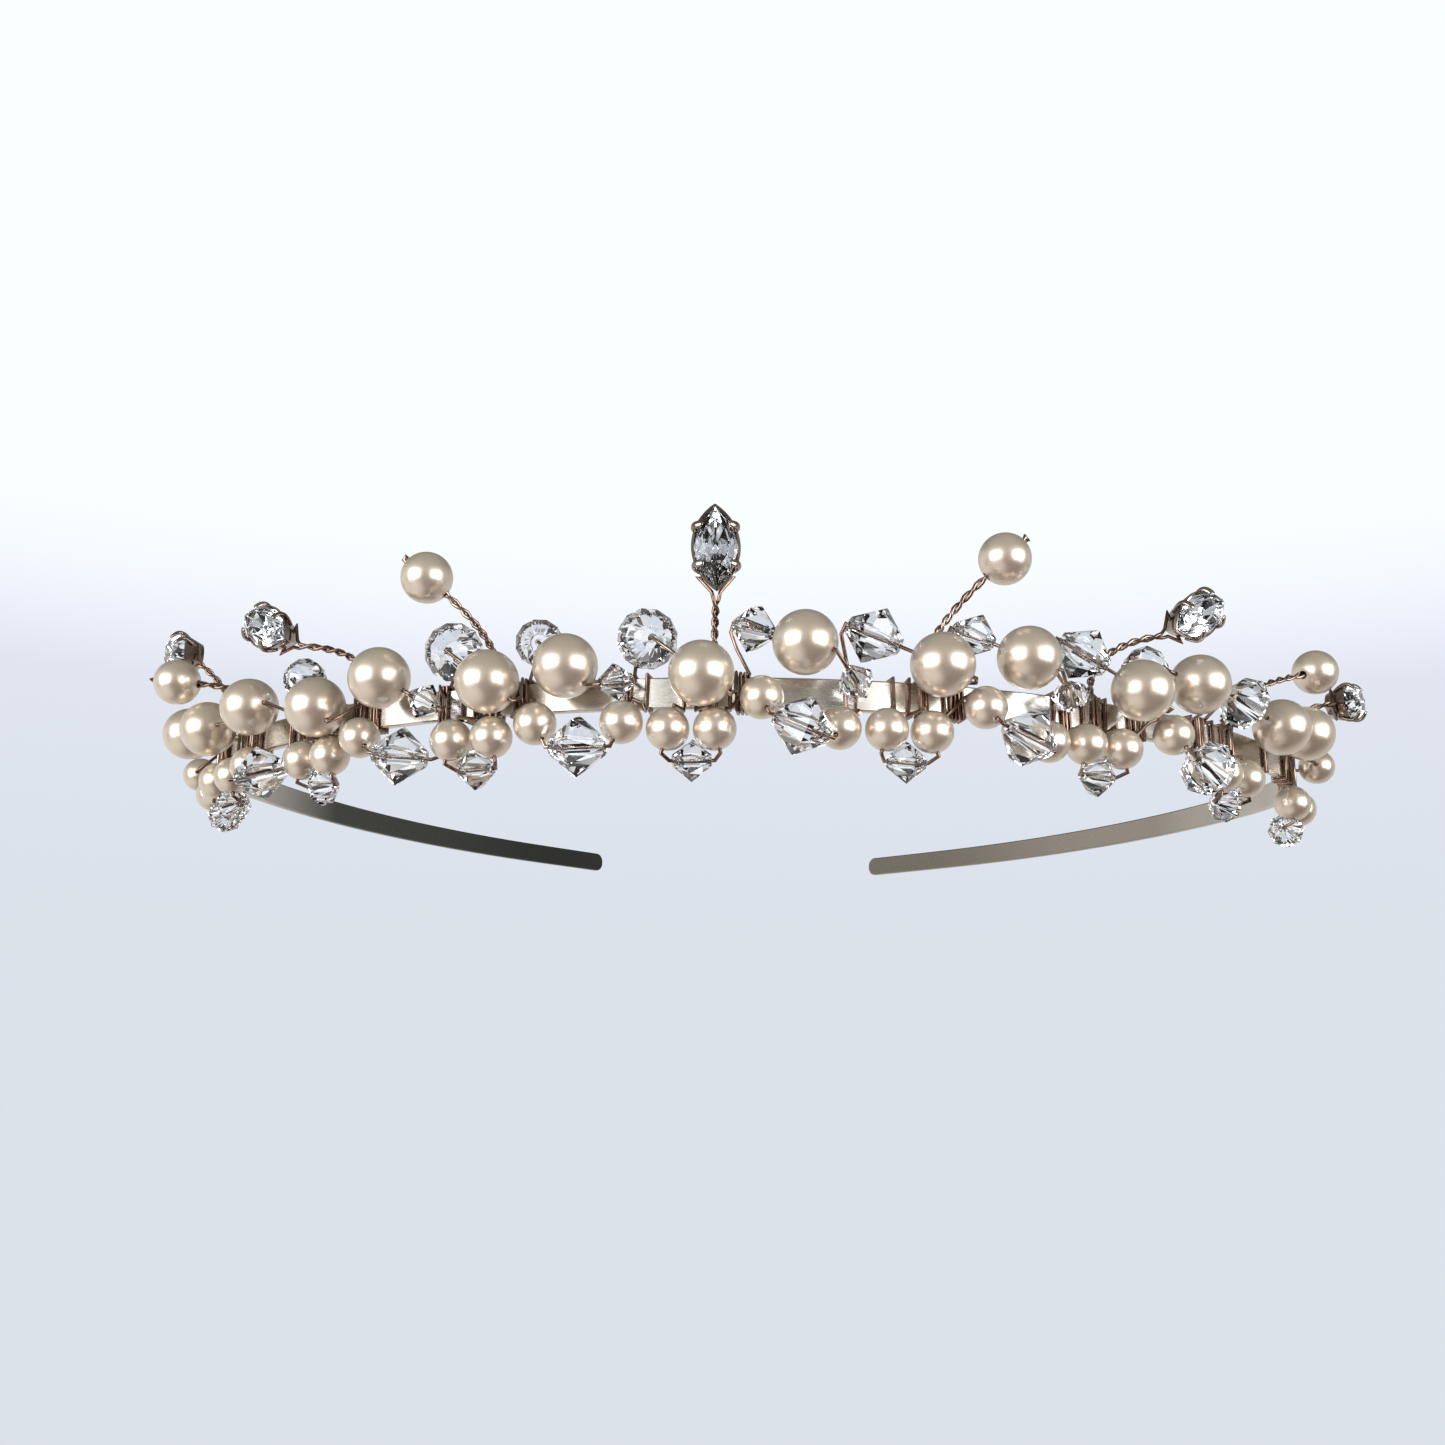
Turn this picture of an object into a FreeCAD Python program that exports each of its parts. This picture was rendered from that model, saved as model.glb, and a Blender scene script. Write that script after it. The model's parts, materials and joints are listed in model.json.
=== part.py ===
"""Bridal tiara: a wire-wrapped headband with pearls, faceted beads and claw-set navettes.

Frame: +Z up, the decorated front faces -Y, the open back is at +Y. The origin is the centre of the
foot of the bounding box, where the lowest drop beads stand. A place on the tiara is given as
(station, height, standoff): the distance along the strip's centre line from its middle (positive
to the wearer's left, +X), the height above the centre line, and the distance outwards from it.
"""
import FreeCAD, Part
import math
import os

Vector = FreeCAD.Vector
UP = Vector(0, 0, 1)

# ---------------------------------------------------------------- driving dimensions, mm and degrees
STRIP_WIDTH = 3.0            # upright width of the headband strip
STRIP_THICKNESS = 0.9
STRIP_EDGE = 0.15            # chamfer on the strip's long edges
STRIP_END_RADIUS = 1.35      # rounding of the strip's ends
FRONT_RADIUS = 73.7          # front of the band
FRONT_HALF_ANGLE = 53.4
SHOULDER_RADIUS = 30.4       # where the band turns back beside the temples
SHOULDER_ANGLE = 47.0
LEG_RADIUS = 126.5           # long, nearly straight legs behind the ears
LEG_ANGLE = 32.0
TAIL_LENGTH = 14.0           # straight end of each leg

WIRE = 0.36                  # all binding wire
WIRE_SIDES = 8               # flats on a drawn wire: round to the eye, few faces at each bend
WRAP_GAP = 0.04              # wire to strip, and turn to turn
WRAP_MARGIN = 0.1            # between the wraps of two wires, on top of a turn's pitch
WRAP_SEARCH = 0.1            # step along the strip when a wrap looks for a free stretch
BORE_CLEARANCE = 0.06        # radial, wire to the bore of a bead
SEAT_GAP = 0.12              # bead to the corner of its wire
STONE_CLEARANCE = 0.06       # stone to the walls and claws of its setting
SKIRT_STEP = 20.0            # half the turn of each bend where a wire is led round a bead
TOLERANCE = 1e-4

ROW_PEARL = 6.0
END_PEARL = 4.0
DROP_PEARL = 4.0
STALK_PEARL = 5.0
ROUND_BEAD = 5.8
SMALL_ROUND_BEAD = 4.6
LARGE_BICONE = 5.8
MEDIUM_BICONE = 4.6
SMALL_BICONE = 3.6
DROP_BICONE = 4.0
BICONE_LENGTH_RATIO = 0.9    # length of a bicone over its diameter
BICONE_FACES = 6             # main facets round each end of a bicone
BICONE_PROFILE = [(0.27, 1.0), (0.72, 0.4)]    # rings above the middle: radius, height, as shares
ROUND_BEAD_FACES = 8
ROUND_BEAD_PROFILE = [(0.36, 1.0), (0.82, 0.6)]
ROUND_BEAD_LENGTH_RATIO = 0.9

DROP_SPREAD = 4.3            # centre to centre of a drop's two pearls
DROP_FALL = 2.7              # from the pearls' centres down to the bicone's centre
DROP_SETBACK = 1.2           # of the bicone behind its pearls
DROP_LEAN = 14.0             # how far the pearls' bores lean in at the top

GARLAND_START = 3.0          # along the strip, from a garland's first pearl back to its wrap
GARLAND_END = 2.0            # and on from its last pearl
GARLAND_LIFT = 0.6           # how far its wire stands off before it turns to the pearl

STRAND_OFFSET = 0.22         # twisted pair: strand centre to the pair's axis
TWIST_PITCH = 2.4
TWIST_STEPS = 6              # straight runs per turn of a strand

NAVETTE_LENGTH = 8.0         # stone, tip to tip
NAVETTE_WIDTH = 4.1
NAVETTE_CROWN = 1.1
NAVETTE_PAVILION = 1.7
NAVETTE_GIRDLE = 0.25
NAVETTE_FACES = 12           # corners of the girdle
NAVETTE_RINGS = [(0.12, 0.0), (0.62, 0.55)]    # pavilion: share of the outline, share of its depth
NAVETTE_CROWN_RING = (0.84, 0.6)               # crown: the same, above the girdle
SETTING_WALL = 0.22
SETTING_FLOOR = 0.35
SETTING_BACK = 0.66          # outline of the cup's back as a share of its mouth
SETTING_WINDOW = 0.4         # outline of the opening in the back
TIP_ALLOWANCE = 1.35         # a pointed oval grows this much more lengthwise than across
CLAW_WIDTH = 0.75
CLAW_STATION = 1.9           # along the setting from its middle
CLAW_THICKNESS = 0.26
CLAW_OVERLAP = 0.7           # of the folded tip over the stone's crown
NAVETTE_TABLE = 0.6          # of the girdle's outline
SEWING_HOLE = 0.6            # holes through the setting's side walls
SEWING_STATION = 2.5         # along the setting from its middle

LACING_SHIFT = 0.9           # how far a wrap of several turns may stand from the middle of its gap
STALK_TURNS = 1              # of each end of a stalk's wire
STALK_FOOT = 2.35            # height of a stalk's foot above the centre line
STALK_RISE = 3.5             # how far a stalk rises upright before it leans
STALK_NUB = 0.3              # of the pair beyond a stalk pearl

# Laced row, from the wearer's right to left: the most turns round the strip before each group of
# beads, then the group: bead, station, height, standoff
PEARL, END = "pearl", "end pearl"
ROUND, SMALL_ROUND = "round", "small round"
LARGE, MEDIUM, SMALL = "large bicone", "medium bicone", "small bicone"
LACED_ROW = [
    (4, [(END, -84.0, -0.5, 3.0)]),
    (3, [(PEARL, -77.5, 3.0, 3.9)]),
    (4, [(PEARL, -67.5, 1.5, 3.9)]),
    (4, [(PEARL, -57.5, 2.2, 4.0)]),
    (2, [(SMALL_ROUND, -52.0, 4.8, 1.2), (PEARL, -46.2, 0.5, 4.1)]),
    (3, [(PEARL, -38.1, 2.4, 4.1), (SMALL, -33.4, -0.2, 3.2)]),
    (3, [(ROUND, -31.4, 4.8, 1.8), (PEARL, -26.4, 0.9, 4.1)]),
    (2, [(SMALL_ROUND, -22.8, 5.2, 1.0), (PEARL, -19.0, 1.9, 4.1), (SMALL, -14.6, 0.4, 3.2)]),
    (2, [(ROUND, -12.2, 4.9, 1.6), (PEARL, -7.0, 0.9, 4.1)]),
    (4, [(MEDIUM, -2.5, 5.9, 1.2), (PEARL, 1.9, 3.9, 4.0), (SMALL, 6.4, 0.6, 3.2)]),
    (4, [(LARGE, 8.4, 5.4, 1.9), (PEARL, 14.0, 2.4, 4.1)]),
    (4, [(MEDIUM, 18.4, 6.4, 0.8), (PEARL, 22.3, 3.8, 4.1), (SMALL, 27.0, 0.8, 3.2)]),
    (3, [(LARGE, 29.6, 5.6, 1.9), (PEARL, 34.6, 2.1, 4.2)]),
    (4, [(SMALL_ROUND, 38.4, 5.6, 1.0), (PEARL, 42.7, 4.0, 4.0)]),
    (4, [(LARGE, 50.4, 3.4, 3.7), (PEARL, 57.3, 2.0, 4.1)]),
    (2, [(PEARL, 64.7, 2.7, 4.0)]),
    (4, [(END, 75.0, 1.0, 3.0)]),
]
LAST_TURNS = 4               # where the lacing ends
ROUND_FACING = (0.36, -0.24, 0.9)    # bore of a round bead: shares along, up and outwards

# Drops: station, height and standoff of the middle of each one's pearls
DROPS = [(-74.0, -4.1, 0.6), (-65.6, -4.1, 2.2), (-48.2, -4.1, 1.9), (-28.6, -4.1, 2.5), (-8.0, -3.8, 2.0),
         (11.4, -3.6, 2.4), (31.2, -3.5, 2.4), (50.0, -4.1, 2.2), (71.6, -4.1, 0.6)]

# Garlands: station, height and standoff of a pearl, the bicone and, at the far end, a second pearl
# or, on the outer two, a point that the bicone's axis aims at
GARLANDS = [
    (False, [(-59.4, -3.6, 2.4), (-54.6, -5.2, 3.7), (-52.4, -4.4, 1.6)]),
    (True, [(-41.4, -2.9, 2.6), (-36.2, -5.2, 2.7), (-32.4, -4.0, -1.6)]),
    (True, [(-22.3, -3.0, 2.4), (-17.9, -5.5, 3.2), (-14.2, -3.2, 2.5)]),
    (True, [(-1.8, -1.2, 3.5), (1.5, -4.1, 5.1), (5.1, -3.6, 2.3)]),
    (True, [(18.2, -1.2, 3.5), (21.4, -4.1, 5.1), (25.1, -3.6, 2.3)]),
    (False, [(39.0, -1.6, 3.5), (41.8, -4.8, 5.0), (45.4, -5.7, 4.0)]),
]

# Stalk pearls: foot station on the strip, then station, height and standoff of the pearl
STALK_PEARLS = [(-63.0, (-69.0, 6.6, 7.2)), (-27.4, (-33.2, 11.8, 4.3)),
                (13.4, (20.4, 13.4, 3.7)), (52.6, (68.0, 10.4, 4.6))]

# Navettes: foot station, then station, height and standoff of the setting's lower tip, then the
# lean of the stone from upright, its turn about the upright and its tilt back, in degrees
NAVETTES = [
    (-70.5, (-72.0, 10.0, 3.6), -66.0, -10.0, 10.0),
    (-43.2, (-50.4, 7.6, 2.8), -62.0, -4.0, 12.0),
    (-6.2, (-6.0, 8.5, 1.8), -2.0, 6.0, 6.0),
    (31.8, (38.4, 8.5, 2.8), 58.0, 16.0, 10.0),
    (67.6, (70.0, 7.0, 4.8), 80.0, 20.0, 8.0),
]

# ---------------------------------------------------------------- values that follow from the above
FRONT_HALF = FRONT_RADIUS * math.radians(FRONT_HALF_ANGLE)
SHOULDER = SHOULDER_RADIUS * math.radians(SHOULDER_ANGLE)
LEG = LEG_RADIUS * math.radians(LEG_ANGLE)
BAND_ARCS = [(FRONT_RADIUS, FRONT_HALF), (SHOULDER_RADIUS, SHOULDER), (LEG_RADIUS, LEG)]
BAND_HALF = FRONT_HALF + SHOULDER + LEG + TAIL_LENGTH

BORE = WIRE / 2 + BORE_CLEARANCE
PAIR_RADIUS = STRAND_OFFSET + WIRE / 2
PAIR_BORE = PAIR_RADIUS + BORE_CLEARANCE
WRAP_STANDOFF = STRIP_THICKNESS / 2 + WRAP_GAP + WIRE / 2
WRAP_HEIGHT = STRIP_WIDTH / 2 + WRAP_GAP + WIRE / 2
WRAP_PITCH = WIRE + WRAP_GAP

SETTING_LENGTH = NAVETTE_LENGTH + 2 * (SETTING_WALL + STONE_CLEARANCE) * TIP_ALLOWANCE
SETTING_WIDTH = NAVETTE_WIDTH + 2 * (SETTING_WALL + STONE_CLEARANCE)
GIRDLE_HEIGHT = SETTING_FLOOR + STONE_CLEARANCE + NAVETTE_PAVILION
SETTING_HEIGHT = GIRDLE_HEIGHT + NAVETTE_GIRDLE
SEWING_HEIGHT = SETTING_FLOOR + SEWING_HOLE / 2 + STONE_CLEARANCE


# ---------------------------------------------------------------- places along the band
def centre_line(station):
    """Point and heading of the strip's centre line; heading 0 runs along +X."""
    side = 1 if station >= 0 else -1
    left = abs(station)
    x = 0.0
    y = 0.0
    heading = 0.0
    for radius, length in BAND_ARCS:
        turn = min(left, length) / radius
        x += radius * (math.sin(heading + turn) - math.sin(heading))
        y += radius * (math.cos(heading) - math.cos(heading + turn))
        heading += turn
        left = max(0.0, left - length)
    x += left * math.cos(heading)
    y += left * math.sin(heading)
    return Vector(side * x, y, 0), side * heading


def directions(station):
    """Unit vectors along the strip towards +X, and outwards from it."""
    heading = centre_line(station)[1]
    along = Vector(math.cos(heading), math.sin(heading), 0)
    outwards = Vector(math.sin(heading), -math.cos(heading), 0)
    return along, outwards


def place(station, height, standoff):
    """The point at a station, height and standoff."""
    point = centre_line(station)[0]
    return point + directions(station)[1] * standoff + UP * height


class StripPlan:
    """Keeps the wraps apart: each one books the free stretch of strip nearest to where it is wanted."""

    def __init__(self):
        self.booked = []

    def nearest(self, wanted, turns):
        """Return the free stretch nearest to a station, for a wrap of so many turns."""
        length = (turns + 1) * WRAP_PITCH + WRAP_MARGIN
        for count in range(round(BAND_HALF / WRAP_SEARCH)):
            for side in (1, -1):
                start = wanted + side * count * WRAP_SEARCH - length / 2
                if all(start + length <= low or start >= high for low, high in self.booked):
                    return start, start + length
        raise ValueError("no room for a wrap near station %.1f" % wanted)

    def book(self, wanted, turns):
        """Return the lower station of the centre line of a wrap of so many turns."""
        stretch = self.nearest(wanted, turns)
        self.booked.append(stretch)
        return stretch[0] + (WRAP_PITCH + WRAP_MARGIN) / 2

    def book_most(self, wanted, most_turns):
        """Book as many turns as fit close by; return the lower station and the turns."""
        for turns in range(most_turns, 0, -1):
            low, high = self.nearest(wanted, turns)
            if turns == 1 or abs((low + high) / 2 - wanted) < LACING_SHIFT:
                return self.book(wanted, turns), turns


# ---------------------------------------------------------------- wire
def bent_wire(points, diameter=WIRE):
    """A wire through the points: straight runs with an eight-sided section and mitred bends."""
    runs = [(b - a).normalize() for a, b in zip(points, points[1:])]
    first = runs[0]
    reference = UP if abs(first.z) < 0.9 else Vector(1, 0, 0)
    side = first.cross(reference).normalize()
    over = first.cross(side)
    ring = []
    for k in range(WIRE_SIDES):
        angle = 2 * math.pi * (k + 0.5) / WIRE_SIDES
        ring.append(points[0] + (side * math.cos(angle) + over * math.sin(angle)) * (diameter / 2))
    faces = [flat_face(ring)]
    for index, run in enumerate(runs):
        end = points[index + 1]
        mitre = run if index + 1 == len(runs) else (run + runs[index + 1]).normalize()
        following = [p + run * ((end - p).dot(mitre) / run.dot(mitre)) for p in ring]
        for k in range(WIRE_SIDES):
            after = (k + 1) % WIRE_SIDES
            faces.append(flat_face([ring[k], ring[after], following[after], following[k]]))
        ring = following
    faces.append(flat_face(ring))
    return closed_solid(faces)


def flat_face(corners):
    """A flat face on the given corners."""
    return Part.Face(Part.makePolygon(corners + [corners[0]]))


def closed_solid(faces):
    """A solid bounded by the faces, with its normals outwards."""
    solid = Part.makeSolid(Part.makeShell(faces))
    if solid.Volume < 0:
        solid.reverse()
    return solid


def wrap_points(start, turns, way, rim):
    """Corners of a wrap round the strip.

    It begins and ends on the outer side, at the top rim (rim 1) or the bottom rim (rim -1), and
    advances along the strip the way given, +1 or -1.
    """
    high = rim * WRAP_HEIGHT
    corners = [(WRAP_STANDOFF, high), (WRAP_STANDOFF, -high), (-WRAP_STANDOFF, -high), (-WRAP_STANDOFF, high)]
    points = []
    for step in range(4 * turns + 1):
        standoff, height = corners[step % 4]
        points.append(place(start + way * WRAP_PITCH * step / 4, height, standoff))
    return points


def skirt(centre, reach, start, end):
    """Corners that lead a wire from a bead's mouth round the bead until it can run straight to the end."""
    step = math.radians(SKIRT_STEP)
    corners = []
    here = start
    turn = step
    while nearest_distance(centre, here, end) < reach - WRAP_GAP:
        out = (here - centre).normalize()
        sideways = end - centre
        sideways = (sideways - out * sideways.dot(out)).normalize()
        here = centre + (out * math.cos(turn) + sideways * math.sin(turn)) * (reach / math.cos(step))
        corners.append(here)
        turn = 2 * step
    return corners


def nearest_distance(point, a, b):
    """Distance from a point to the straight run from a to b."""
    run = b - a
    share = min(1.0, max(0.0, (point - a).dot(run) / run.dot(run)))
    return point.distanceToPoint(a + run * share)


# ---------------------------------------------------------------- beads
def turned(shape, axis, centre):
    """The shape, made along Z about the origin, laid along the axis at the centre."""
    moved = shape.copy()
    moved.Placement = FreeCAD.Placement(centre, FreeCAD.Rotation(UP, axis))
    return moved


def drilled(body, bore, length):
    """The body with a bore along Z."""
    drill = Part.makeCylinder(bore, 2 * length, Vector(0, 0, -length))
    return body.cut(drill)


def pearl(diameter, bore=BORE):
    """A drilled pearl along Z."""
    return drilled(Part.makeSphere(diameter / 2), bore, diameter)


def facet_rings(rings):
    """A solid cut with flat triangles between rings of corners, each ring half a step from the last."""
    faces = [flat_face(rings[0])]
    for lower, upper in zip(rings, rings[1:]):
        count = len(lower)
        for k in range(count):
            after = (k + 1) % count
            faces.append(flat_face([lower[k], lower[after], upper[k]]))
            faces.append(flat_face([upper[k], lower[after], upper[after]]))
    faces.append(flat_face(rings[-1]))
    return closed_solid(faces)


def corner_ring(radius, height, count, half_steps):
    """Corners spaced evenly round Z; half_steps turns them by that many half steps."""
    angles = [2 * math.pi * (k + half_steps / 2) / count for k in range(count)]
    return [Vector(radius * math.cos(a), radius * math.sin(a), height) for a in angles]


def faceted(diameter, length, count, profile):
    """A faceted bead along Z, alike at both ends; the profile gives its rings from one end to the middle."""
    radius = diameter / 2
    below = [(radius * share, -length / 2 * rise) for share, rise in profile]
    above = [(r, -height) for r, height in reversed(below)]
    levels = below + [(radius, 0)] + above
    rings = [corner_ring(r, height, count, step) for step, (r, height) in enumerate(levels)]
    return drilled(facet_rings(rings), BORE, diameter)


def bicone(diameter):
    """A bicone bead, widest at its middle."""
    return faceted(diameter, diameter * BICONE_LENGTH_RATIO, BICONE_FACES, BICONE_PROFILE)


def round_bead(diameter):
    """A cut round bead."""
    return faceted(diameter, diameter * ROUND_BEAD_LENGTH_RATIO, ROUND_BEAD_FACES, ROUND_BEAD_PROFILE)


# how each bead is made, and its length along the bore
BEADS = {
    PEARL: (lambda: pearl(ROW_PEARL), ROW_PEARL),
    END: (lambda: pearl(END_PEARL), END_PEARL),
    ROUND: (lambda: round_bead(ROUND_BEAD), ROUND_BEAD * ROUND_BEAD_LENGTH_RATIO),
    SMALL_ROUND: (lambda: round_bead(SMALL_ROUND_BEAD), SMALL_ROUND_BEAD * ROUND_BEAD_LENGTH_RATIO),
    LARGE: (lambda: bicone(LARGE_BICONE), LARGE_BICONE * BICONE_LENGTH_RATIO),
    MEDIUM: (lambda: bicone(MEDIUM_BICONE), MEDIUM_BICONE * BICONE_LENGTH_RATIO),
    SMALL: (lambda: bicone(SMALL_BICONE), SMALL_BICONE * BICONE_LENGTH_RATIO),
}


# ---------------------------------------------------------------- headband
def headband():
    """The strip: its plan outline of tangent arcs, drawn up to its width, with rounded ends."""
    ends = [-BAND_HALF, -BAND_HALF + TAIL_LENGTH, -FRONT_HALF - SHOULDER, -FRONT_HALF,
            FRONT_HALF, FRONT_HALF + SHOULDER, BAND_HALF - TAIL_LENGTH, BAND_HALF]

    base = -STRIP_WIDTH / 2
    half = STRIP_THICKNESS / 2
    tail = BAND_HALF - TAIL_LENGTH

    def edge(start, end, standoff):
        a, middle, b = [place(s, base, standoff) for s in (start, (start + end) / 2, end)]
        straight = min(abs(start), abs(end)) > tail - TOLERANCE
        return (Part.LineSegment(a, b) if straight else Part.Arc(a, middle, b)).toShape()

    def tip(side):
        return Part.LineSegment(place(side * BAND_HALF, base, side * half),
                                place(side * BAND_HALF, base, -side * half)).toShape()

    outer = [edge(a, b, half) for a, b in zip(ends, ends[1:])]
    inner = [edge(b, a, -half) for a, b in zip(ends, ends[1:])][::-1]
    outline = Part.Wire(outer + [tip(1)] + inner + [tip(-1)])
    strip = Part.Face(outline).extrude(UP * STRIP_WIDTH)
    tips = [place(side * BAND_HALF, 0, 0) for side in (-1, 1)]
    corners = [e for e in strip.Edges if e.Length < STRIP_THICKNESS + TOLERANCE
               and abs(abs(e.CenterOfMass.z) - STRIP_WIDTH / 2) < TOLERANCE
               and min(e.CenterOfMass.distanceToPoint(t) for t in tips) < STRIP_WIDTH]
    strip = strip.makeFillet(STRIP_END_RADIUS, corners)
    long_edges = [e for e in strip.Edges if e.Length > TAIL_LENGTH / 2]
    return strip.makeChamfer(STRIP_EDGE, long_edges)


# ---------------------------------------------------------------- upper row
def mouth_reach(length):
    """From the centre of a bead of this length to the corner of the wire outside its bore."""
    return length / 2 + SEAT_GAP + WIRE / 2


def thread(group):
    """Centres, bore directions and reaches of beads threaded on one wire.

    The first bead's bore aims at the next bead, or faces forward in a round bead; each later bead
    lies in line with the mouth of the one before.
    """
    along, outwards = directions(group[0][1])
    centres = [place(*bead[1:]) for bead in group]
    threaded = []
    for (kind, *_), centre in zip(group, centres):
        reach = mouth_reach(BEADS[kind][1])
        if threaded:
            before, aim, before_reach = threaded[-1]
            axis = centre - (before + aim * before_reach)
        elif kind in (ROUND, SMALL_ROUND):
            ahead, up, out = ROUND_FACING
            axis = along * ahead + UP * up + outwards * out
        elif len(group) > 1:
            axis = centres[1] - centre
        else:
            axis = along
        threaded.append((centre, axis.normalize(), reach))
    return threaded


def laced_row(plan):
    """Beads by kind, on one continuous wire that winds round the strip between the groups."""
    beads = {kind: [] for kind in BEADS}
    points = []
    left = None
    first_station = LACED_ROW[0][1][0][1]
    edge = first_station - 2 * END_PEARL
    for turns, group in LACED_ROW:
        kind, station = group[0][:2]
        wanted = (edge + station - BEADS[kind][1] / 2) / 2
        wrap = lacing_wrap(plan, wanted, turns)
        threaded = thread(group)
        centre, axis, reach = threaded[0]
        if left:
            points += skirt(*left, wrap[0])
        points += wrap
        points += skirt(centre, reach, centre - axis * reach, wrap[-1])[::-1]
        for bead, (centre, axis, reach) in zip(group, threaded):
            make, length = BEADS[bead[0]]
            beads[bead[0]].append(turned(make(), axis, centre))
            points += [centre - axis * reach, centre + axis * reach]
            edge = bead[1] + length / 2
        left = (centre, reach, points[-1])
    wrap = lacing_wrap(plan, edge + END_PEARL, LAST_TURNS)
    points += skirt(*left, wrap[0])
    return beads, bent_wire(points + wrap)


def lacing_wrap(plan, wanted, turns):
    """A wrap of up to so many turns near a station."""
    start, turns = plan.book_most(wanted, turns)
    return wrap_points(start, turns, 1, 1)


# ---------------------------------------------------------------- drops and garlands
def drop(plan, station, height, standoff):
    """Pearls, bicone and wire of one drop."""
    along, outwards = directions(station)
    centre = place(station, height, standoff)
    hung = centre - UP * DROP_FALL - outwards * DROP_SETBACK
    lean = math.radians(DROP_LEAN)
    reach = mouth_reach(DROP_PEARL)
    end_reach = mouth_reach(DROP_BICONE * BICONE_LENGTH_RATIO)
    pearls = []
    halves = []
    for side in (-1, 1):
        axis = UP * math.cos(lean) - along * (side * math.sin(lean))
        middle = centre + along * (side * DROP_SPREAD / 2)
        pearls.append(turned(pearl(DROP_PEARL), axis, middle))
        start = plan.book(station + side * DROP_SPREAD / 4, 1)
        if side < 0:
            start += WRAP_PITCH
        halves.append([hung + along * (side * end_reach), middle - axis * reach, middle + axis * reach]
                      + wrap_points(start, 1, side, -1))
    wire = bent_wire(halves[0][::-1] + halves[1])
    return pearls, turned(bicone(DROP_BICONE), along, hung), wire


def garland(plan, paired, spots):
    """Pearls, bicone and wire of one garland, hung from the strip at both ends."""
    centres = [place(*spot) for spot in spots]
    axis = (centres[2] - centres[0 if paired else 1]).normalize()
    bicone_reach = mouth_reach(LARGE_BICONE * BICONE_LENGTH_RATIO) + WIRE / 2
    pearl_reach = mouth_reach(DROP_PEARL) + WIRE
    mouths = [centres[1] - axis * bicone_reach, centres[1] + axis * bicone_reach]
    crystal = turned(bicone(LARGE_BICONE), axis, centres[1])
    pearls = []
    ends = []
    for side, centre, mouth in ((-1, centres[0], mouths[0]), (1, centres[2], mouths[1])):
        station = spots[1 + side][0]
        threaded = paired or side < 0
        if threaded:
            station += side * (GARLAND_START if side < 0 else GARLAND_END)
        start = plan.book(station, 1)
        if side < 0:
            start += WRAP_PITCH
        wrap = wrap_points(start, 1, side, -1)
        if threaded:
            away = (centre - mouth).normalize()
            pearls.append(turned(pearl(DROP_PEARL), away, centre))
            far = centre + away * pearl_reach
            lifted = wrap[0] + directions(station)[1] * GARLAND_LIFT
            wrap = [far] + skirt(centre, pearl_reach, far, lifted) + [lifted] + wrap
        ends.append(wrap)
    return pearls, crystal, bent_wire(ends[0][::-1] + mouths + ends[1])


# ---------------------------------------------------------------- stalks
def leaning_path(foot, control, top, step):
    """Points on the curve that leaves the foot towards the control point and ends at the top."""
    length = (foot.distanceToPoint(control) + control.distanceToPoint(top) + foot.distanceToPoint(top)) / 2
    count = max(3, round(length / step))
    points = []
    for k in range(count + 1):
        t = k / count
        points.append(foot * ((1 - t) ** 2) + control * (2 * t * (1 - t)) + top * (t * t))
    return points


def stalk_wire(plan, foot_station, control_rise, path_end, across_end, cap):
    """A stalk: one wire bent double and twisted; its ends wind round the strip at the foot.

    path_end holds the points after the lean; cap joins the two strands at the far end.
    """
    turns = 2 * STALK_TURNS + 1
    start = plan.book(foot_station, turns)
    middle = start + turns * WRAP_PITCH / 2
    foot = place(middle, STALK_FOOT, 0)
    along = directions(middle)[0]
    step = TWIST_PITCH / TWIST_STEPS
    centres = leaning_path(foot, foot + UP * control_rise, path_end[0], step)
    for a, b in zip(path_end, path_end[1:]):
        count = max(1, round(a.distanceToPoint(b) / step))
        centres += [a + (b - a) * ((k + 1) / count) for k in range(count)]
    last = len(centres) - 1
    half_turns = max(1, round(2 * last / TWIST_STEPS))
    strands = [[], []]
    for k, centre in enumerate(centres):
        tangent = (centres[min(k + 1, last)] - centres[max(k - 1, 0)]).normalize()
        side = along * (1 - k / last) + across_end * (k / last)
        side = (side - tangent * side.dot(tangent)).normalize()
        over = tangent.cross(side)
        angle = math.pi * half_turns * (1 - k / last)
        offset = (side * math.cos(angle) + over * math.sin(angle)) * STRAND_OFFSET
        strands[0].append(centre - offset)
        strands[1].append(centre + offset)
    if half_turns % 2:
        strands.reverse()
        cap = cap[::-1]
    left = wrap_points(middle - WRAP_PITCH / 2, STALK_TURNS, -1, 1)[::-1]
    right = wrap_points(middle + WRAP_PITCH / 2, STALK_TURNS, 1, 1)
    return bent_wire(left + strands[0] + cap + strands[1][::-1] + right)


def stalk_pearl(plan, foot_station, spot):
    """A pearl threaded on the end of a stalk."""
    centre = place(*spot)
    control = place(foot_station, STALK_FOOT + STALK_RISE, 0)
    axis = (centre - control).normalize()
    radius = STALK_PEARL / 2
    across = directions(spot[0])[0]
    across = (across - axis * across.dot(axis)).normalize()
    ends = [centre - axis * radius, centre + axis * (radius + STALK_NUB)]
    wire = stalk_wire(plan, foot_station, STALK_RISE, ends, across, [])
    return turned(pearl(STALK_PEARL, PAIR_BORE), axis, centre), wire


# ---------------------------------------------------------------- navettes
def vesica_half_width(length, width, x):
    """Half the width of a pointed oval at x from its middle."""
    a = length / 2
    b = width / 2
    radius = (a * a + b * b) / (2 * b)
    return math.sqrt(max(0.0, radius * radius - x * x)) - (radius - b)


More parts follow.
